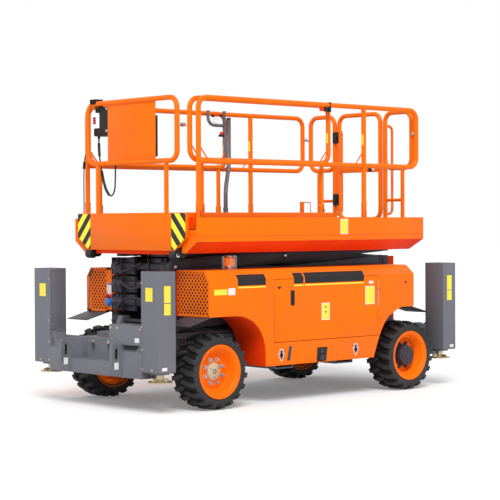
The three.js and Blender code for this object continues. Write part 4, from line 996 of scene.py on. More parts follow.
def makeControlBox():
    c = controlSettings
    (x0, x1), (y0, y1), (z0, z1) = c["x"], c["y"], c["z"]
    (hx0, hx1), (hy0, hy1), (cap0, cap1) = c["hookX"], c["hookY"], c["capZ"]
    parts = [
        block((x0, y0 + 0.09, z0 + 0.05), (x1, y1, z1), 0.012),  # console behind the face
        block((x0 + 0.01, y0 + 0.002, z0), (x1 - 0.004, y1, z0 + 0.075), 0.014),  # its wider foot
        block((x1 - 0.05, y0 + 0.035, z1 - 0.05), (x1, y0 + 0.12, z1 - 0.008), 0.006),
        block((hx0, hy0, z1 - 0.003), (x1, hy1, cap1), 0.004),
        block((hx0, hy0, cap0), (hx1, hy1, cap1), 0.004),
        block((hx1 - 0.012, hy0, cap0 - 0.03), (hx1 + 0.002, hy1, cap1), 0.003),
    ]
    step = (hy1 - hy0) / c["ribs"]
    ribs = [block((hx1, hy0 + step * (i + 0.3), cap0 - 0.024),
                  (hx1 + 0.005, hy0 + step * (i + 0.7), cap1 - 0.002), 0.001, 1) for i in range(c["ribs"])]
    box = painted(merged(parts + ribs), "blackPlastic")
    panel = tag((x0 - 0.002, y0 + 0.105, z0 + 0.07), (x0 + 0.002, y1 - 0.015, z1 - 0.02), "darkGreyPaint", 0.001)
    y, z = c["stick"]
    stick = painted(merged(
        rod((x0 - 0.001, y, z), (x0 - 0.05, y, z + 0.01), 0.008, 16),
        rod((x0 - 0.045, y, z + 0.008), (x0 - 0.075, y, z + 0.015), 0.019, 24, 0.006)), "blackPlastic")
    y, z = c["stop"]
    stop = merged(
        painted(rod((x0 - 0.001, y, z), (x0 - 0.006, y, z), 0.02, 24, 0.001), "yellowPlate"),
        painted(rod((x0 - 0.005, y, z), (x0 - 0.026, y, z), 0.0155, 24, 0.004), "redPlastic"))
    z = c["switchZ"]
    switches = [rod((x0 - 0.001, y, z), (x0 - 0.018, y, z + 0.003), 0.005, 12) for y in c["switches"]]
    buttons = [rod((x1 - 0.006, y1 - 0.022, z), (x1 + 0.001, y1 - 0.022, z), 0.013, 24, 0.002)
               for z in (z0 + 0.045, z1 - 0.018)]
    alarm = [block((c["alarmX"][0], c["alarmY"][0], z), (c["alarmX"][1], c["alarmY"][1], z + 0.02), 0.005)
             for z in c["alarmZ"]]
    return merged(box, panel, stick, stop, painted(merged(switches + buttons), "silver"),
                  painted(merged(alarm), "redPlastic"))


finished(makeControlBox(), "controlConsole", "extension", ["control_box"])

leverSettings = {
    "y": -0.668, "floor": 1.5769, "stem": ((-0.245, 1.937), (-0.29, 2.18)), "stemTop": 2.632, "stemRadius": 0.021,
    "fork": (-0.23, 2.40), "forkTop": 2.708, "gripX": -0.019, "gripZ": 2.565, "gripRadius": 0.016,
    "footTop": 1.76, "footRadius": 0.0245, "clampZ": 2.455, "capZ": (2.655, 2.662),
    "redPlate": (-0.16, -0.065, 2.652, 2.676), "cable": 0.0035,
    "ring": ((-0.14, 2.625), (-0.07, 2.63), (-0.075, 2.59), (-0.13, 2.587)),
}


def makeLever():
    v = leverSettings
    y = v["y"]
    (x0, z0), (x1, z1) = v["stem"]
    fx, fz = v["fork"]
    stem = pipe([(x0, y, v["floor"]), (x0, y, z0), (x1, y, z1), (x1, y, v["stemTop"])], v["stemRadius"], bend=0.06)
    fork = pipe([(x1, y, z1), (fx, y, fz), (fx, y, v["forkTop"])], v["gripRadius"], bend=0.04)
    grip = pipe([(fx, y, v["gripZ"]), (v["gripX"], y, v["gripZ"]), (v["gripX"], y, v["forkTop"])],
                v["gripRadius"], bend=0.08)
    foot = pipe([(x0, y, v["floor"]), (x0, y, v["footTop"])], v["footRadius"], bend=0)
    steel = painted(merged(stem, fork, grip, foot), "leverPaint")
    clamp, (lowCap, highCap) = v["clampZ"], v["capZ"]
    caps = [rod((x1, y, v["stemTop"] - 0.004), (x1, y, v["stemTop"] + 0.014), 0.0215, 24, 0.004),
            rod((x0 - 0.03, y, v["footTop"] - 0.015), (x0 + 0.03, y, v["footTop"] - 0.015), 0.007, 12),
            block((fx + 0.012, y - 0.02, clamp), (fx + 0.062, y + 0.02, clamp + 0.023), 0.005),
            rod((v["gripX"] - 0.05, y + 0.004, lowCap), (v["gripX"] - 0.05, y + 0.03, lowCap), 0.013, 16),
            rod((fx + 0.06, y + 0.004, highCap), (fx + 0.06, y + 0.03, highCap), 0.013, 16)]
    left, right, low, high = v["redPlate"]
    plateRed = block((left, y - 0.012, low), (right, y + 0.014, high), 0.003)
    knob = rod((fx + 0.036, y, clamp + 0.022), (fx + 0.036, y, clamp + 0.05), 0.017, 24, 0.006)
    cable = pipe([(fx - 0.02, y + 0.012, 2.48), (fx - 0.03, y + 0.014, 2.36), (x1 + 0.022, y + 0.02, 2.2),
                  (x1 + 0.03, y + 0.022, 2.06), (x0 + 0.02, y + 0.02, 1.9)], v["cable"], bend=0.05)
    ring = pipe([(x, y + 0.02, z) for x, z in v["ring"]], 0.0025, bend=0.015, closed=True)
    return merged(steel, painted(merged(caps), "blackPlastic"), painted(merged(knob, plateRed), "redOrangePaint"),
                  painted(merged(cable, ring), "silver"))


finished(makeLever(), "deckLockLever", "extension", ["deck_lock_lever"])

controlLeadSettings = {
    "radius": 0.007, "sleeve": 0.0125, "gland": 0.012, "wrap": 0.0095, "wrapZ": (2.11, 2.16),
    "route": ((1.38, -0.575, 2.4017), (1.38, -0.575, 2.34), (1.388, -0.562, 2.285), (1.402, -0.538, 2.225),
              (1.412, -0.514, 2.165), (1.412, -0.494, 2.085), (1.412, -0.466, 1.99), (1.412, -0.428, 1.91),
              (1.412, -0.385, 1.866), (1.412, -0.34, 1.862), (1.412, -0.306, 1.905), (1.412, -0.293, 1.99),
              (1.412, -0.29, 2.08), (1.412, -0.29, 2.15), (1.412, -0.29, 2.1827)),
}


def leadCurve(name, route, radius):
    data = bpy.data.curves.new(name, "CURVE")
    data.dimensions = "3D"
    spline = data.splines.new("BEZIER")
    spline.bezier_points.add(len(route) - 1)
    for point, place in zip(spline.bezier_points, route):
        point.co = place
        point.handle_left_type = point.handle_right_type = "AUTO"
    data.bevel_depth = radius
    data.bevel_resolution = 3
    data.resolution_u = 8
    data.use_fill_caps = True
    obj = bpy.data.objects.new(name, data)
    scene.collection.objects.link(obj)
    return obj


controlLead = leadCurve("controlLead", controlLeadSettings["route"], controlLeadSettings["radius"])
controlLead.data.materials.append(finishes["rubber"])
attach(controlLead, "extension")
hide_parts("control_lead")


def makeLeadFittings():
    c = controlLeadSettings
    route = [Vector(p) for p in c["route"]]
    plug = pipe(route[1:4], c["sleeve"], bend=0.02)
    gland = rod(route[0] + Vector((0, 0, 0.004)), route[0] + Vector((0, 0, -0.02)), c["gland"], 20)
    sleeve = pipe(route[5:9], c["sleeve"], bend=0.02)
    x, y, _ = route[-1]
    wraps = [rod((x, y, z), (x, y, z + 0.012), c["wrap"], 16, 0.002) for z in c["wrapZ"]]
    return painted(merged([plug, gland, sleeve] + wraps), "blackPlastic")


finished(makeLeadFittings(), "controlLeadFittings", "extension")

postLeadSettings = {
    "radius": 0.005, "joint": 0.0125,
    "route": ((1.456, -0.6563, 2.25), (1.456, -0.67, 2.25), (1.452, -0.69, 2.222), (1.445, -0.712, 2.168),
              (1.437, -0.728, 2.11), (1.432, -0.738, 2.04), (1.43, -0.741, 1.94),
              (1.43, -0.741, 1.7), (1.43, -0.741, 1.5769)),
}


def makePostLead():
    route = postLeadSettings["route"]
    lead = pipe(route, postLeadSettings["radius"], bend=0.02)
    joint = rod(Vector(route[3]) + Vector((0.001, 0.003, 0.006)), route[4], postLeadSettings["joint"], 20, 0.004)
    return painted(merged(lead, joint), "blackPlastic")


finished(makePostLead(), "postLeadTube", "extension", ["post_lead"])

print("cover trim")
grilleSettings = {
    "x": 1.3062, "y": (0.436, 0.870), "z": (0.80, 1.20), "chamfer": (0.06, 0.085), "hole": 0.0122,
    "step": (0.0214, 0.0252), "thick": 0.0022, "border": 0.016,
}


def makeGrille(inner, outer):  # the holes stay between these distances from the middle
    g = grilleSettings
    x, (y0, y1), (z0, z1), (stepY, stepZ) = g["x"], g["y"], g["z"], g["step"]
    bpy.ops.mesh.primitive_circle_add(vertices=8, radius=g["hole"], location=(0, 0, 0), rotation=(0, math.pi / 2, 0))
    hole = settle(bpy.context.object)
    bpy.ops.mesh.primitive_circle_add(vertices=4, radius=1, location=(0, 0, 0), rotation=(0, math.pi / 2, 0))
    rim = bpy.context.object
    rim.scale = (stepZ, stepY, 1)
    settle(rim)
    cell = merged(hole, rim)
    edit(cell)
    bpy.ops.mesh.select_mode(type="EDGE")
    bpy.ops.mesh.bridge_edge_loops()
    leave()
    cells = merged(cell, shifted(cell, 0, stepY, stepZ))
    for count, step in ((12, (0, 2 * stepY, 0)), (10, (0, 0, 2 * stepZ))):
        modify(cells, "ARRAY", count=count, use_relative_offset=False, use_constant_offset=True,
               constant_offset_displace=step, use_merge_vertices=True, merge_threshold=0.0005)
    cells.data.transform(Matrix.Translation((x, y0 - 0.02, z0 - 0.02)))
    b = g["border"]
    cutY, cutZ = g["chamfer"]
    slope = Vector((0, cutZ, cutY)).normalized()
    cuts = [((0, inner, 0), (0, -1, 0)), ((0, outer, 0), (0, 1, 0)), ((0, 0, z0 + b), (0, 0, -1)),
            ((0, 0, z1 - b), (0, 0, 1)), (Vector((0, y1, z1 - cutZ)) - slope * b * 0.7, slope)]
    for place, normal in cuts:
        edit(cells)
        bpy.ops.mesh.bisect(plane_co=place, plane_no=normal, clear_outer=True)
        leave()
    modify(cells, "SOLIDIFY", thickness=g["thick"], offset=1)
    edit(cells)
    bpy.ops.mesh.normals_make_consistent(inside=False)
    leave()
    low, high = x - 0.0002, x + 0.0036
    frame = [
        block((low, y0, z0), (high, inner + 0.001, z1), 0.0012, 1),
        block((low, y0, z0), (high, y1, z0 + b + 0.001), 0.0012, 1),
        block((low, outer - 0.001, z0), (high, y1, z1 - cutZ), 0.0012, 1),
        block((low, y0, z1 - b - 0.001), (high, y1 - cutY, z1), 0.0012, 1),
        plate([(low, y1, z1 - cutZ - 0.006), (low, y1, z1 - cutZ), (low, y1 - cutY, z1),
               (low, y1 - cutY - 0.016, z1), (low, y1 - 0.017, z1 - cutZ - 0.006)], (high - low, 0, 0), 0.001, 1),
    ]
    skin = painted(merged(cells, frame), "orangePaint")
    # dark sheets behind the holes: painted shade for the hollow behind the grille
    screen = tag((x - 0.0042, y0 + 0.012, z0 + 0.01), (x - 0.0016, y1 - 0.062, z1 - 0.004), "innerShade")
    screenSide = tag((x - 0.0042, y1 - 0.07, z0 + 0.01), (x - 0.0016, y1 - 0.006, z1 - 0.088), "innerShade")
    # the red-orange jamb strip is painted shade on the flange's inner side
    shadedJamb = tag((x + 0.0032, y0, z0), (x + 0.0045, y0 + 0.02, z1), "redOrangePaint")
    return merged(skin, screen, screenSide, shadedJamb)


leftGrille = makeGrille(0.452, 0.860)
rightPattern = makeGrille(0.572, 0.802)
rightGrille = flipped(rightPattern)
bpy.data.objects.remove(rightPattern)


inletSettings = {
    "place": (1.3105, -0.515, 0.893), "radius": 0.029, "length": 0.038, "flange": (0.038, 0.04),
    "sheet": (-0.556, -0.492, 0.955, 1.045), "strip": 1.06,
    "seal": ((-0.785, 1.196), (-0.82, 1.12), (-0.85, 0.806), (-0.834, 0.806), (-0.804, 1.12), (-0.768, 1.196)),
}


def makeInlet():  # power inlet with its cap, on the right cover's inner front corner
    n = inletSettings
    (x, y, z), r, (halfY, halfZ) = n["place"], n["radius"], n["flange"]
    body = rod((x, y, z), (x + n["length"], y, z - 0.008), r, 32, 0.004)
    ridges = [rod((x + 0.004 + 0.009 * i, y, z), (x + 0.008 + 0.009 * i, y, z - 0.001), r + 0.002, 32, 0.001)
              for i in range(3)]
    flange = block((x - 0.0005, y - halfY, z - halfZ), (x + 0.006, y + halfY, z + halfZ), 0.004)
    lid = rod((x + 0.012, y - 0.003, z + 0.052), (x + 0.022, y - 0.003, z + 0.046), r + 0.002, 32, 0.004)
    y0, y1, z0, z1 = n["sheet"]
    sheet = tag((x - 0.0005, y0, z0), (x + 0.001, y1, z1), "whitePlate")
    strip = tag((x - 0.0005, y0, z1), (x + 0.001, y1, n["strip"]), "bluePlastic")
    return merged(painted(merged([body, flange] + ridges), "bluePlastic"), painted(lid, "redPlastic"), sheet, strip)


def makeSeal():
    outline = [(inletSettings["place"][0] - 0.001, y, z) for y, z in inletSettings["seal"]]
    return painted(plate(outline, (0.003, 0, 0), 0.0008, 1), "sealStrip")


finished(leftGrille, "leftGrilleSheet", "chassis", ["left_front_grille"])
finished(merged(rightGrille, makeInlet(), makeSeal()), "rightGrilleSheet", "chassis", ["right_front_grille"])


def bordered(low, high, finish="yellowPlate", edge=0.006):  # a plate with a thin white border
    (x0, y, z0), (x1, yTop, z1) = low, high
    return merged(tag((x0, y, z0), (x1, yTop - 0.0006, z1), "whitePlate", 0.0003),
                  tag((x0 + edge, y, z0 + edge), (x1 - edge, yTop, z1 - edge), finish, 0.0003))


coverSettings = {
    "y": 0.870, "breakZ": 1.115, "slope": (-0.06, 0.085), "bannerZ": (1.062, 1.157),
    "banners": ((0.646, 0.977), (-0.605, 0.165), (0.185, 0.303)), "label": (-0.745, -0.62, 0.842, 1.012),
    "plates": (("whitePlate", -0.73, -0.67, 1.035, 1.06), ("yellowPlate", 1.10, 1.25, 0.988, 1.036),
               ("whitePlate", 1.008, 1.088, 0.984, 1.044)),
    "tieDown": (0.46, -0.49), "tieDownZ": 0.44, "dot": (-1.18, 1.035), "key": (-0.045, 0.437),
    "slot": ((0.355, 0.378), (0.392, 0.378), (0.365, 0.505), (0.328, 0.505)),
    "latch": ((-0.098, 0.346), (0.022, 0.346), (0.012, 0.474), (-0.118, 0.474)),
    "gasket": ((-1.28, 0.437, 1.1995), (1.29, 0.449, 1.209)),
}
# half outlines of the tie-down arrow and its ground, across and up from the arrow's shoulder
arrowShape = ((0, -0.055), (0.03, 0), (0.014, 0), (0.014, 0.034))
groundShape = ((0, -0.073), (0.042, 0.007), (0.022, 0.007), (0.022, 0.044))


def makeBanner(x0, x1):  # dark strip folded over the cover's top edge, yellow line under it
    c = coverSettings
    y, (z0, z1), (inward, upward) = c["y"] - 0.0004, c["bannerZ"], c["slope"]
    top = (y + inward * (z1 - c["breakZ"]) / upward, z1)
    flat = tag((x0, y, z0), (x1, y + 0.0016, c["breakZ"]), "blackPlastic", 0.0003)
    fold = plate([(x0, y, c["breakZ"]), (x1, y, c["breakZ"]), (x1, *top), (x0, *top)], (0, 0.0013, 0.0009), 0.0002, 1)
    line = tag((x0 + 0.002, y, z0 - 0.022), (x1, y + 0.0016, z0 - 0.009), "yellowPlate", 0.0003)
    return merged(flat, painted(fold, "blackPlastic"), line)


def facePlate(outline, thick, bevel, finish, segments=2):  # a cut plate on the cover's side
    y = coverSettings["y"] - 0.0004
    return painted(plate([(x, y, z) for x, z in outline], (0, thick, 0), bevel, segments), finish)


def makeArrow(x, shape, thick, finish):
    z = coverSettings["tieDownZ"]
    half = [(x + across, z + up) for across, up in shape]
    other = [(x - across, z + up) for across, up in reversed(shape[1:])]
    return facePlate([other[-1]] + half + other[:-1], thick, 0.0003, finish, 1)


def makeCoverTrim():
    c = coverSettings
    y = c["y"] - 0.0004
    parts = [makeBanner(*ends) for ends in c["banners"]]
    x0, x1, z0, z1 = c["label"]
    parts.append(bordered((x0, y, z0), (x1, y + 0.0018, z1)))
    parts += [tag((x0, y, z0), (x1, y + 0.0016, z1), finish) for finish, x0, x1, z0, z1 in c["plates"]]
    for x in c["tieDown"]:
        parts.append(makeArrow(x, arrowShape, 0.0016, "blackPlastic"))
        parts.append(makeArrow(x, groundShape, 0.0010, "whitePlate"))
    parts.append(facePlate(c["slot"], 0.0018, 0.0006, "darkGreyPaint", 1))
    parts.append(facePlate(c["latch"], 0.004, 0.003, "blackPlastic"))
    x, z = c["key"]
    parts.append(painted(merged(block((x - 0.025, y, 0.36), (x + 0.025, y + 0.012, 0.40), 0.004),
                                rod((x, y, z), (x, y + 0.009, z), 0.017, 24)), "darkGreyPaint"))
    x, z = c["dot"]
    parts += [tag(*c["gasket"], "sealStrip", 0.002),
              painted(boltHead((x, y, z), (0, 1, 0), 0.009, 0.006), "blackPlastic")]
    return merged(parts)


trim = makeCoverTrim()
finished(flipped(trim), "rightCoverTrim", "chassis")
finished(trim, "leftCoverTrim", "chassis")


doorTrimSettings = {
    "y": 0.8715, "handle": (0.32, 0.868, 1.006), "handleRadius": 0.0235, "flat": 0.35, "key": (0.483, 1.028),
    "label": (-0.148, -0.045, 0.72, 0.876), "dots": (-0.097, 0.838, 0.795), "hinge": (-0.788, 0.819, 1.064),
}


def makeDoorTrim():
    d = doorTrimSettings
    y, (x, low, high) = d["y"], d["handle"]
    handle = rod((x, y, low), (x, y, high), d["handleRadius"], 24, 0.009)
    flatten = Matrix.Translation((0, y, 0)) @ Matrix.Diagonal((1, d["flat"], 1, 1)) @ Matrix.Translation((0, -y, 0))
    handle.data.transform(flatten)
    grip = rod((x, y + 0.008, low + 0.017), (x, y + 0.008, high - 0.016), 0.007, 16, 0.002)
    x, z = d["key"]
    key = boltHead((x, y, z), (0, 1, 0), 0.008, 0.004)
    keyBar = block((x - 0.023, y - 0.001, z + 0.004), (x + 0.022, y + 0.002, z + 0.014), 0.001, 1)
    dark = painted(merged(handle, grip, key, keyBar), "blackPlastic")
    x0, x1, z0, z1 = d["label"]
    label = bordered((x0, y - 0.001, z0), (x1, y + 0.0014, z1))
    x, *heights = d["dots"]
    dots = [rod((x, y + 0.001, z), (x, y + 0.002, z), 0.009, 16, 0.0003) for z in heights]
    x, z0, z1 = d["hinge"]
    rodHinge = painted(rod((x, y + 0.006, z0), (x, y + 0.006, z1), 0.0045, 12, 0.001), "silver")
    return merged(dark, label, painted(merged(dots), "blackPlastic"), rodHinge)


doorTrim = makeDoorTrim()
finished(flipped(doorTrim), "rightDoorTrim", "right_door")
finished(doorTrim, "leftDoorTrim", "left_door")
deckMarks = {
    "badge": ((-0.395, 0.8675, 1.50), (-0.295, 0.8696, 1.64)),
    "line": ((-1.43, 0.8672, 1.4935), (1.43, 0.8688, 1.4965)),
}
# the line along each deck side is red-orange: painted shade in its groove
badge, line = bordered(*deckMarks["badge"]), tag(*deckMarks["line"], "redOrangePaint", 0.0005)
finished(merged(badge, line, flipped(badge), flipped(line)), "deckBadges", "platform")

print("beacon, ladder and outriggers")
beaconSettings = {  # profiles are (radius, height above the foot)
    "place": (0.928, 0.702), "foot": 1.2003, "top": 1.3103, "ring": 1.3183, "cage": 0.064, "wire": 0.004 * 0.8,
    "base": ((0, 0), (0.068, 0), (0.07, 0.005), (0.064, 0.012), (0.045, 0.014), (0.04, 0.026), (0, 0.026)),
    "lensFoot": ((0, 0.025), (0.05, 0.025), (0.051, 0.034), (0.0485, 0.036)),
    "lensTop": ((0.0475, -0.014), (0.04, -0.004), (0.02, 0), (0, 0)),
}


def makeBeacon():
    b = beaconSettings
    (x, y), z, ring, cage, wire = b["place"], b["foot"], b["ring"], b["cage"], b["wire"]

    def upright(points):
        return turned([(x + r, y, height) for r, height in points], (x, y, 0), (0, 0, 1), 40)

    base = upright([(r, z + up) for r, up in b["base"]])
    lens = upright([(r, z + up) for r, up in b["lensFoot"]] + [(r, b["top"] + up) for r, up in b["lensTop"]])
    hoops = []
    for level in (z + 0.032, ring):
        bpy.ops.mesh.primitive_torus_add(location=(x, y, level), major_radius=cage, minor_radius=wire,
                                         major_segments=40, minor_segments=10)
        hoops.append(settle(bpy.context.object))
    for deg in range(0, 360, 60):
        px, py = x + cage * math.cos(math.radians(deg)), y + cage * math.sin(math.radians(deg))
        hoops.append(rod((px, py, z + 0.006), (px, py, ring), wire, 10, 0))
    hoops.append(pipe([(x - cage, y, ring), (x + cage, y, ring)], wire, bend=0))
    hoops.append(pipe([(x, y - cage, ring), (x, y + cage, ring)], wire, bend=0))
    return merged(painted(lens, "amberLens"), painted(base, "silver"), painted(merged(hoops), "silver"))


finished(makeBeacon(), "beaconAndCage", "chassis", ["warning_beacon"])

ladderSettings = {
    "x": -1.714, "inner": -1.614, "half": 0.19, "foot": 0.6053, "top": 1.18, "radius": 0.014,
    "rungs": (0.75, 0.95, 1.12), "rung": (0.02, 0.012), "treads": 5, "treadStep": 0.008,
}


def makeLadder():
    d = ladderSettings
    x, inner, half, (deep, thick) = d["x"], d["inner"], d["half"], d["rung"]
    hoop = [(x, d["foot"]), (x, d["top"]), (inner, d["top"]), (inner, d["foot"])]
    parts = [pipe([(a, y, z) for a, z in hoop], d["radius"], bend=0.04) for y in (-half, half)]
    for z in d["rungs"]:
        parts.append(block((x - deep, -half, z - thick), (x + deep, half, z + thick), 0.004))
        for i in range(d["treads"]):
            left = x - 0.018 + d["treadStep"] * i
            parts.append(block((left, -half + 0.02, z + 0.011), (left + 0.003, half - 0.02, z + 0.0145), 0.0008, 1))
    return painted(merged(parts), "greyPaint")


finished(makeLadder(), "ladderPipes", "chassis", ["entry_ladder"])

footSettings = {
    "x": 1.774, "y": 0.7765, "half": 0.06, "top": 1.0, "neckTop": 0.339, "neck": 0.047, "ram": (0.036, 0.034),
    "pad": (0.268, 0.282), "padRadius": 0.105, "rib": 0.09,
}


def makeFoot():
    f = footSettings
    x, y, half, top, rib, (low, high) = f["x"], f["y"], f["half"], f["neckTop"], f["rib"], f["pad"]

    def upright(points, sides):
        return turned([(x + r, y, z) for r, z in points], (x, y, 0), (0, 0, 1), sides)

    ram = painted(block((x - half, y - half, top - 0.001), (x + half, y + half, f["top"]), 0.004), "greyPaint")
    neck = upright([(0, high - 0.001), (f["neck"], high - 0.001), (f["neck"], high + 0.008),
                    (f["ram"][0], high + 0.014), (f["ram"][1], top), (0, top)], 32)
    r = f["padRadius"]
    pad = upright([(0, low), (r - 0.004, low), (r, low + 0.003), (r, high - 0.004), (r - 0.006, high), (0, high)], 48)
    ribs = [block((x - a, y - b, high - 0.001), (x + a, y + b, high + 0.02), 0.002)
            for a, b in ((rib, 0.004), (0.004, rib))]
    return merged(painted(merged([neck, pad] + ribs), "zinc"), ram)


foot = makeFoot()
for end, lengthwise in (("front", 1), ("rear", -1)):
    for side, way in (("left", 1), ("right", -1)):
        place = Matrix.Diagonal((lengthwise, way, 1, 1))
        name = f"{end}_{side}_foot"
        finished(copied(foot, place), name + "Skin", name, [name])
bpy.data.objects.remove(foot)

legSettings = {
    "x": (legX, 1.880), "y": (0.658, 0.895), "top": 1.206, "plate": (0.06, 0.155, 0.955, 1.07),
    "bolts": (0.385, 0.547, 0.74, 1.11), "outerBolt": (0.145, 0.382), "panel": (0.66, 1.19), "braceFoot": 0.53,
}


def makeLegTrim():
    g = legSettings
    (x0, x1), (y0, y1), top, (low, high) = g["x"], g["y"], g["top"], g["panel"]
    inner, edge = x0 + 0.02, 0.008
    a, b, plateLow, plateHigh = g["plate"]
    label = tag((x1 - 0.0004, y0 + a, plateLow), (x1 + 0.0012, y0 + b, plateHigh), "yellowPlate")
    cap = block((x0 + 0.004, y0 + 0.004, top - 0.004), (x1 - 0.004, y1 - 0.004, top + 0.0012), 0.001, 1)
    bolts = [boltHead((x1, y0 + 0.014, z), (1, 0, 0), 0.007, 0.006) for z in g["bolts"]]
    bolts.append(boltHead((x1, y0 + g["outerBolt"][0], g["outerBolt"][1]), (1, 0, 0), 0.008, 0.006))
    brace = plate([(inner, y0 + 0.001, 0.648), (inner, g["braceFoot"], 0.50), (inner, y0 + 0.001, 0.50)],
                  (x1 - x0 - 0.045, 0, 0), 0.003, 1)
    strips = [(inner, low, x1 - 0.012, low + edge), (inner, high - edge, x1 - 0.012, high),
              (x1 - 0.02, low, x1 - 0.012, high), (inner, low, inner + edge, high)]
    panel = [block((a, y0 - 0.003, c), (b, y0 + 0.001, d), 0.001, 1) for a, c, b, d in strips]
    corners = [(inner, 0.60), (x1 - 0.004, 0.505), (x1 - 0.004, 0.60), (x1 - 0.09, 0.662), (inner, 0.662)]
    gusset = plate([(x, y0 - 0.001, z) for x, z in corners], (0, -0.012, 0), 0.002, 1)
    return merged([label, painted(cap, "darkGreyPaint"), painted(merged(bolts), "zinc"),
                   painted(merged(panel + [gusset, brace]), "greyPaint")])


legTrim = makeLegTrim()
for end, lengthwise in (("front", 1), ("rear", -1)):
    for side, way in (("left", 1), ("right", -1)):
        finished(copied(legTrim, Matrix.Diagonal((lengthwise, way, 1, 1))), f"{end}_{side}_legTrim", "chassis")
bpy.data.objects.remove(legTrim)


bumperSettings = {
    "toeX": 1.73, "toes": (-0.215, 0.015), "toeZ": 0.565,
    "boxX": 1.875, "boxBolts": (0.235, 0.325, 0.64), "boxZ": 0.715,
    "lugX": (1.905, 1.95), "lugs": (-0.3504, 0.3796), "lugZ": (0.365, 0.425),
    "slotX": (1.914, 1.936), "slots": (-0.356, 0.372), "slotZ": (0.456, 0.541),
    "boxPlate": ((1.8748, 0.565, 0.602), (1.8762, 0.625, 0.64)),
    "step": ((1.7295, -0.62, 0.40), (1.738, -0.30, 0.604)),
}


def makeBumperTrim(front):
    b = bumperSettings
    x, z = b["toeX"], b["toeZ"]
    bolts = [boltHead((x, y, z), (1, 0, 0), 0.014, 0.012) for y in b["toes"]]
    pins = [rod((x + 0.012, y + 0.01, z - 0.01), (x + 0.022, y + 0.035, z - 0.055), 0.007, 12) for y in b["toes"]]
    marks = [tag((b["lugX"][0], y, b["lugZ"][0]), (b["lugX"][1], y + 0.0012, b["lugZ"][1]), "whitePlate")
             for y in b["lugs"]]
    if front:  # the box and the step are on this bumper only
        bolts += [boltHead((b["boxX"], y, b["boxZ"]), (1, 0, 0), 0.009, 0.008) for y in b["boxBolts"]]
        marks.append(tag(*b["boxPlate"], "whitePlate"))
        marks.append(painted(block(*b["step"], 0.003), "greyPaint"))
    # dark fill in the slots: painted shade
    slots = [block((b["slotX"][0], y, b["slotZ"][0]), (b["slotX"][1], y + 0.004, b["slotZ"][1]), 0.0015, 1)
             for y in b["slots"]]
    return merged([painted(merged(bolts), "zinc"), painted(merged(slots), "innerShade"),
                   painted(merged(pins), "blackPlastic")] + marks)


rearPattern = makeBumperTrim(False)
bumperTrim = {"front": makeBumperTrim(True), "rear": flipped(rearPattern, "x")}
bpy.data.objects.remove(rearPattern)
for end, piece in bumperTrim.items():
    finished(piece, end + "BumperTrim", "chassis")

print("lift cylinder and pins")
for node, body, finish in (("lift_cylinder_barrel", "lift_barrel", "armPaint"),
                           ("lift_cylinder_rod", "lift_rod", "chrome")):
    skin = painted(cadCopy(node, 0.0015, 1), finish)
    finished(skin, node + "_skin", body, [node], angle=40)

stackSettings = {
    "fixed": 1.30744, "roller": -1.33744, "foot": 0.73, "pitch": 0.1645, "outer": 0.42, "cap": 0.03, "pin": 0.016,
    "outerArm": (0.35, 0.42), "innerArm": (0.28, 0.34),
}
for level in (1, 2, 3, 4):
    t = stackSettings
    low = t["foot"] + (level - 1) * t["pitch"]
    middle = Vector(((t["fixed"] + t["roller"]) / 2, t["outer"], low + t["pitch"] / 2))
    ends = [Vector((t["fixed"], t["outer"], low)), middle]
    heads = []
    for place in ends:
        cap = rod(place - Vector((0, 0.001, 0)), place + Vector((0, 0.006, 0)), t["cap"], 28, 0.002)
        pin = rod(place, place + Vector((0, 0.0085, 0)), t["pin"], 24, 0.002)
        heads += [painted(cap, "darkGreyPaint"), painted(pin, "silver")]
    pins = merged(heads)
    finished(merged(pins, flipped(pins)), f"armPins{level}", f"outer_{level}")

endSettings = {
    "half": 0.056, "depth": 0.077, "rearX": (-0.079, 0.05), "rearDepth": 0.062, "rearPin": 0.026,
    "tray": (0.095, 0.285), "trayDepth": 0.074, "hose": 0.011,
}


def makeArmEnd(z, low, high):  # squared fork plates at the arms' front ends, joined at the front
    x, h, d = stackSettings["fixed"], endSettings["half"], endSettings["depth"]
    cheeks = [block((x - h, y, z - d), (x + h, y + 0.010, z + d), 0.004) for y in (low - 0.001, high - 0.009)]
    cheeks.append(block((x + h - 0.014, low, z - d + 0.004), (x + h - 0.006, high, z - 0.012), 0.002))
    return merged(cheeks)


def makeRearEnd(z, high):  # squared end plate on the far end of the same arms
    x, (back, ahead), d = stackSettings["roller"], endSettings["rearX"], endSettings["rearDepth"]
    return merged(block((x + back, high - 0.006, z - d), (x + ahead, high + 0.002, z + d), 0.003),
                  rod((x - 0.02, high, z), (x - 0.02, high + 0.008, z), endSettings["rearPin"], 24, 0.003))


def makeTray(z):  # plate between the inner arms, where the hoses run
    x, (inner, outer), d = stackSettings["fixed"] + 0.005, endSettings["tray"], endSettings["trayDepth"]
    return merged(block((x, inner, z - d), (x + 0.008, outer, z + d), 0.002),
                  block((x, inner, z - d), (x + 0.045, inner + 0.008, z + d), 0.002))


def makeHose(points):
    return painted(pipe(points, endSettings["hose"], bend=0.045), "rubber")


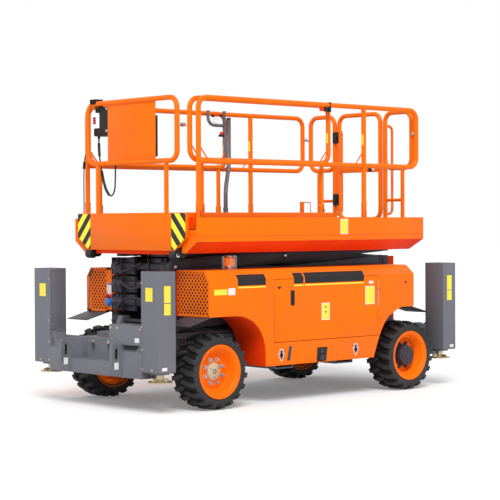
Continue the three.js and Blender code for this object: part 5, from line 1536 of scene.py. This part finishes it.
hoseRuns = {  # level: points, with the height taken from the level's front pivot
    2: [(1.372, -0.30, -0.045), (1.40, -0.25, -0.005), (1.405, -0.15, 0.045),
        (1.39, -0.06, 0.05), (1.35, 0.02, 0.03)],
    3: [(1.36, -0.29, 0.045), (1.405, -0.22, 0.02), (1.405, -0.10, -0.045),
        (1.38, 0.0, -0.02), (1.35, 0.06, 0.02)],
    4: [(1.36, -0.30, 0.04), (1.41, -0.33, 0.0), (1.415, -0.24, -0.06),
        (1.40, -0.12, -0.03), (1.35, 0.0, 0.03)],
}
for level in (1, 2, 3, 4):
    t = stackSettings
    z = t["foot"] + (level - 1) * t["pitch"]
    end, rear = makeArmEnd(z, *t["outerArm"]), makeRearEnd(z + t["pitch"], t["outerArm"][1])
    pieces = [painted(merged(end, flipped(end), rear, flipped(rear)), "armPaint")]
    if level in hoseRuns:
        pieces.append(makeHose([(x, y, z + rise) for x, y, rise in hoseRuns[level]]))
    finished(merged(pieces), f"armEnds{level}", f"outer_{level}")
    z += t["pitch"]
    end, tray = makeArmEnd(z, *t["innerArm"]), makeTray(z)
    inner = painted(merged(end, flipped(end), tray, flipped(tray)), "armPaint")
    finished(inner, f"innerArmEnds{level}", f"inner_{level}")

# plates that stand at the stack's rear, red-orange as painted shade
uprightSettings = (((-1.553, 0.36, 0.638), (-1.47, 0.372, 1.275)), ((-1.47, 0.34, 0.638), (-1.462, 0.372, 0.75)))
upright = merged([tag(low, high, "redOrangePaint", 0.002) for low, high in uprightSettings])
finished(merged(upright, flipped(upright)), "stackUprights", "chassis")

print("deck fittings")
ringSettings = {
    "foot": ((-0.065, 0.60, 1.5766), (-0.035, 0.63, 1.80)), "y": 0.615, "wire": 0.005,
    "route": ((-0.06, 1.78), (-0.06, 1.795), (-0.16, 1.795), (-0.16, 1.58)),
}
catchSettings = {"block": ((-1.23, -0.31, 1.5503), (-1.12, -0.21, 1.695)), "knob": (-1.20, -0.26, 1.69)}


def makeDeckRing():
    r = ringSettings
    wire = pipe([(x, r["y"], z) for x, z in r["route"]], r["wire"], bend=0.015)
    return merged(tag(*r["foot"], "orangePaint", 0.002), painted(wire, "zinc"))


def makeDeckCatch():
    x, y, z = catchSettings["knob"]
    return merged(tag(*catchSettings["block"], "blackPlastic", 0.01),
                  painted(rod((x, y, z), (x, y, z + 0.035), 0.006, 16), "silver"),
                  painted(rod((x, y, z + 0.03), (x, y, z + 0.047), 0.017, 24, 0.004), "blackPlastic"))


finished(makeDeckRing(), "deckRing", "extension")
finished(makeDeckCatch(), "deckCatch", "platform")
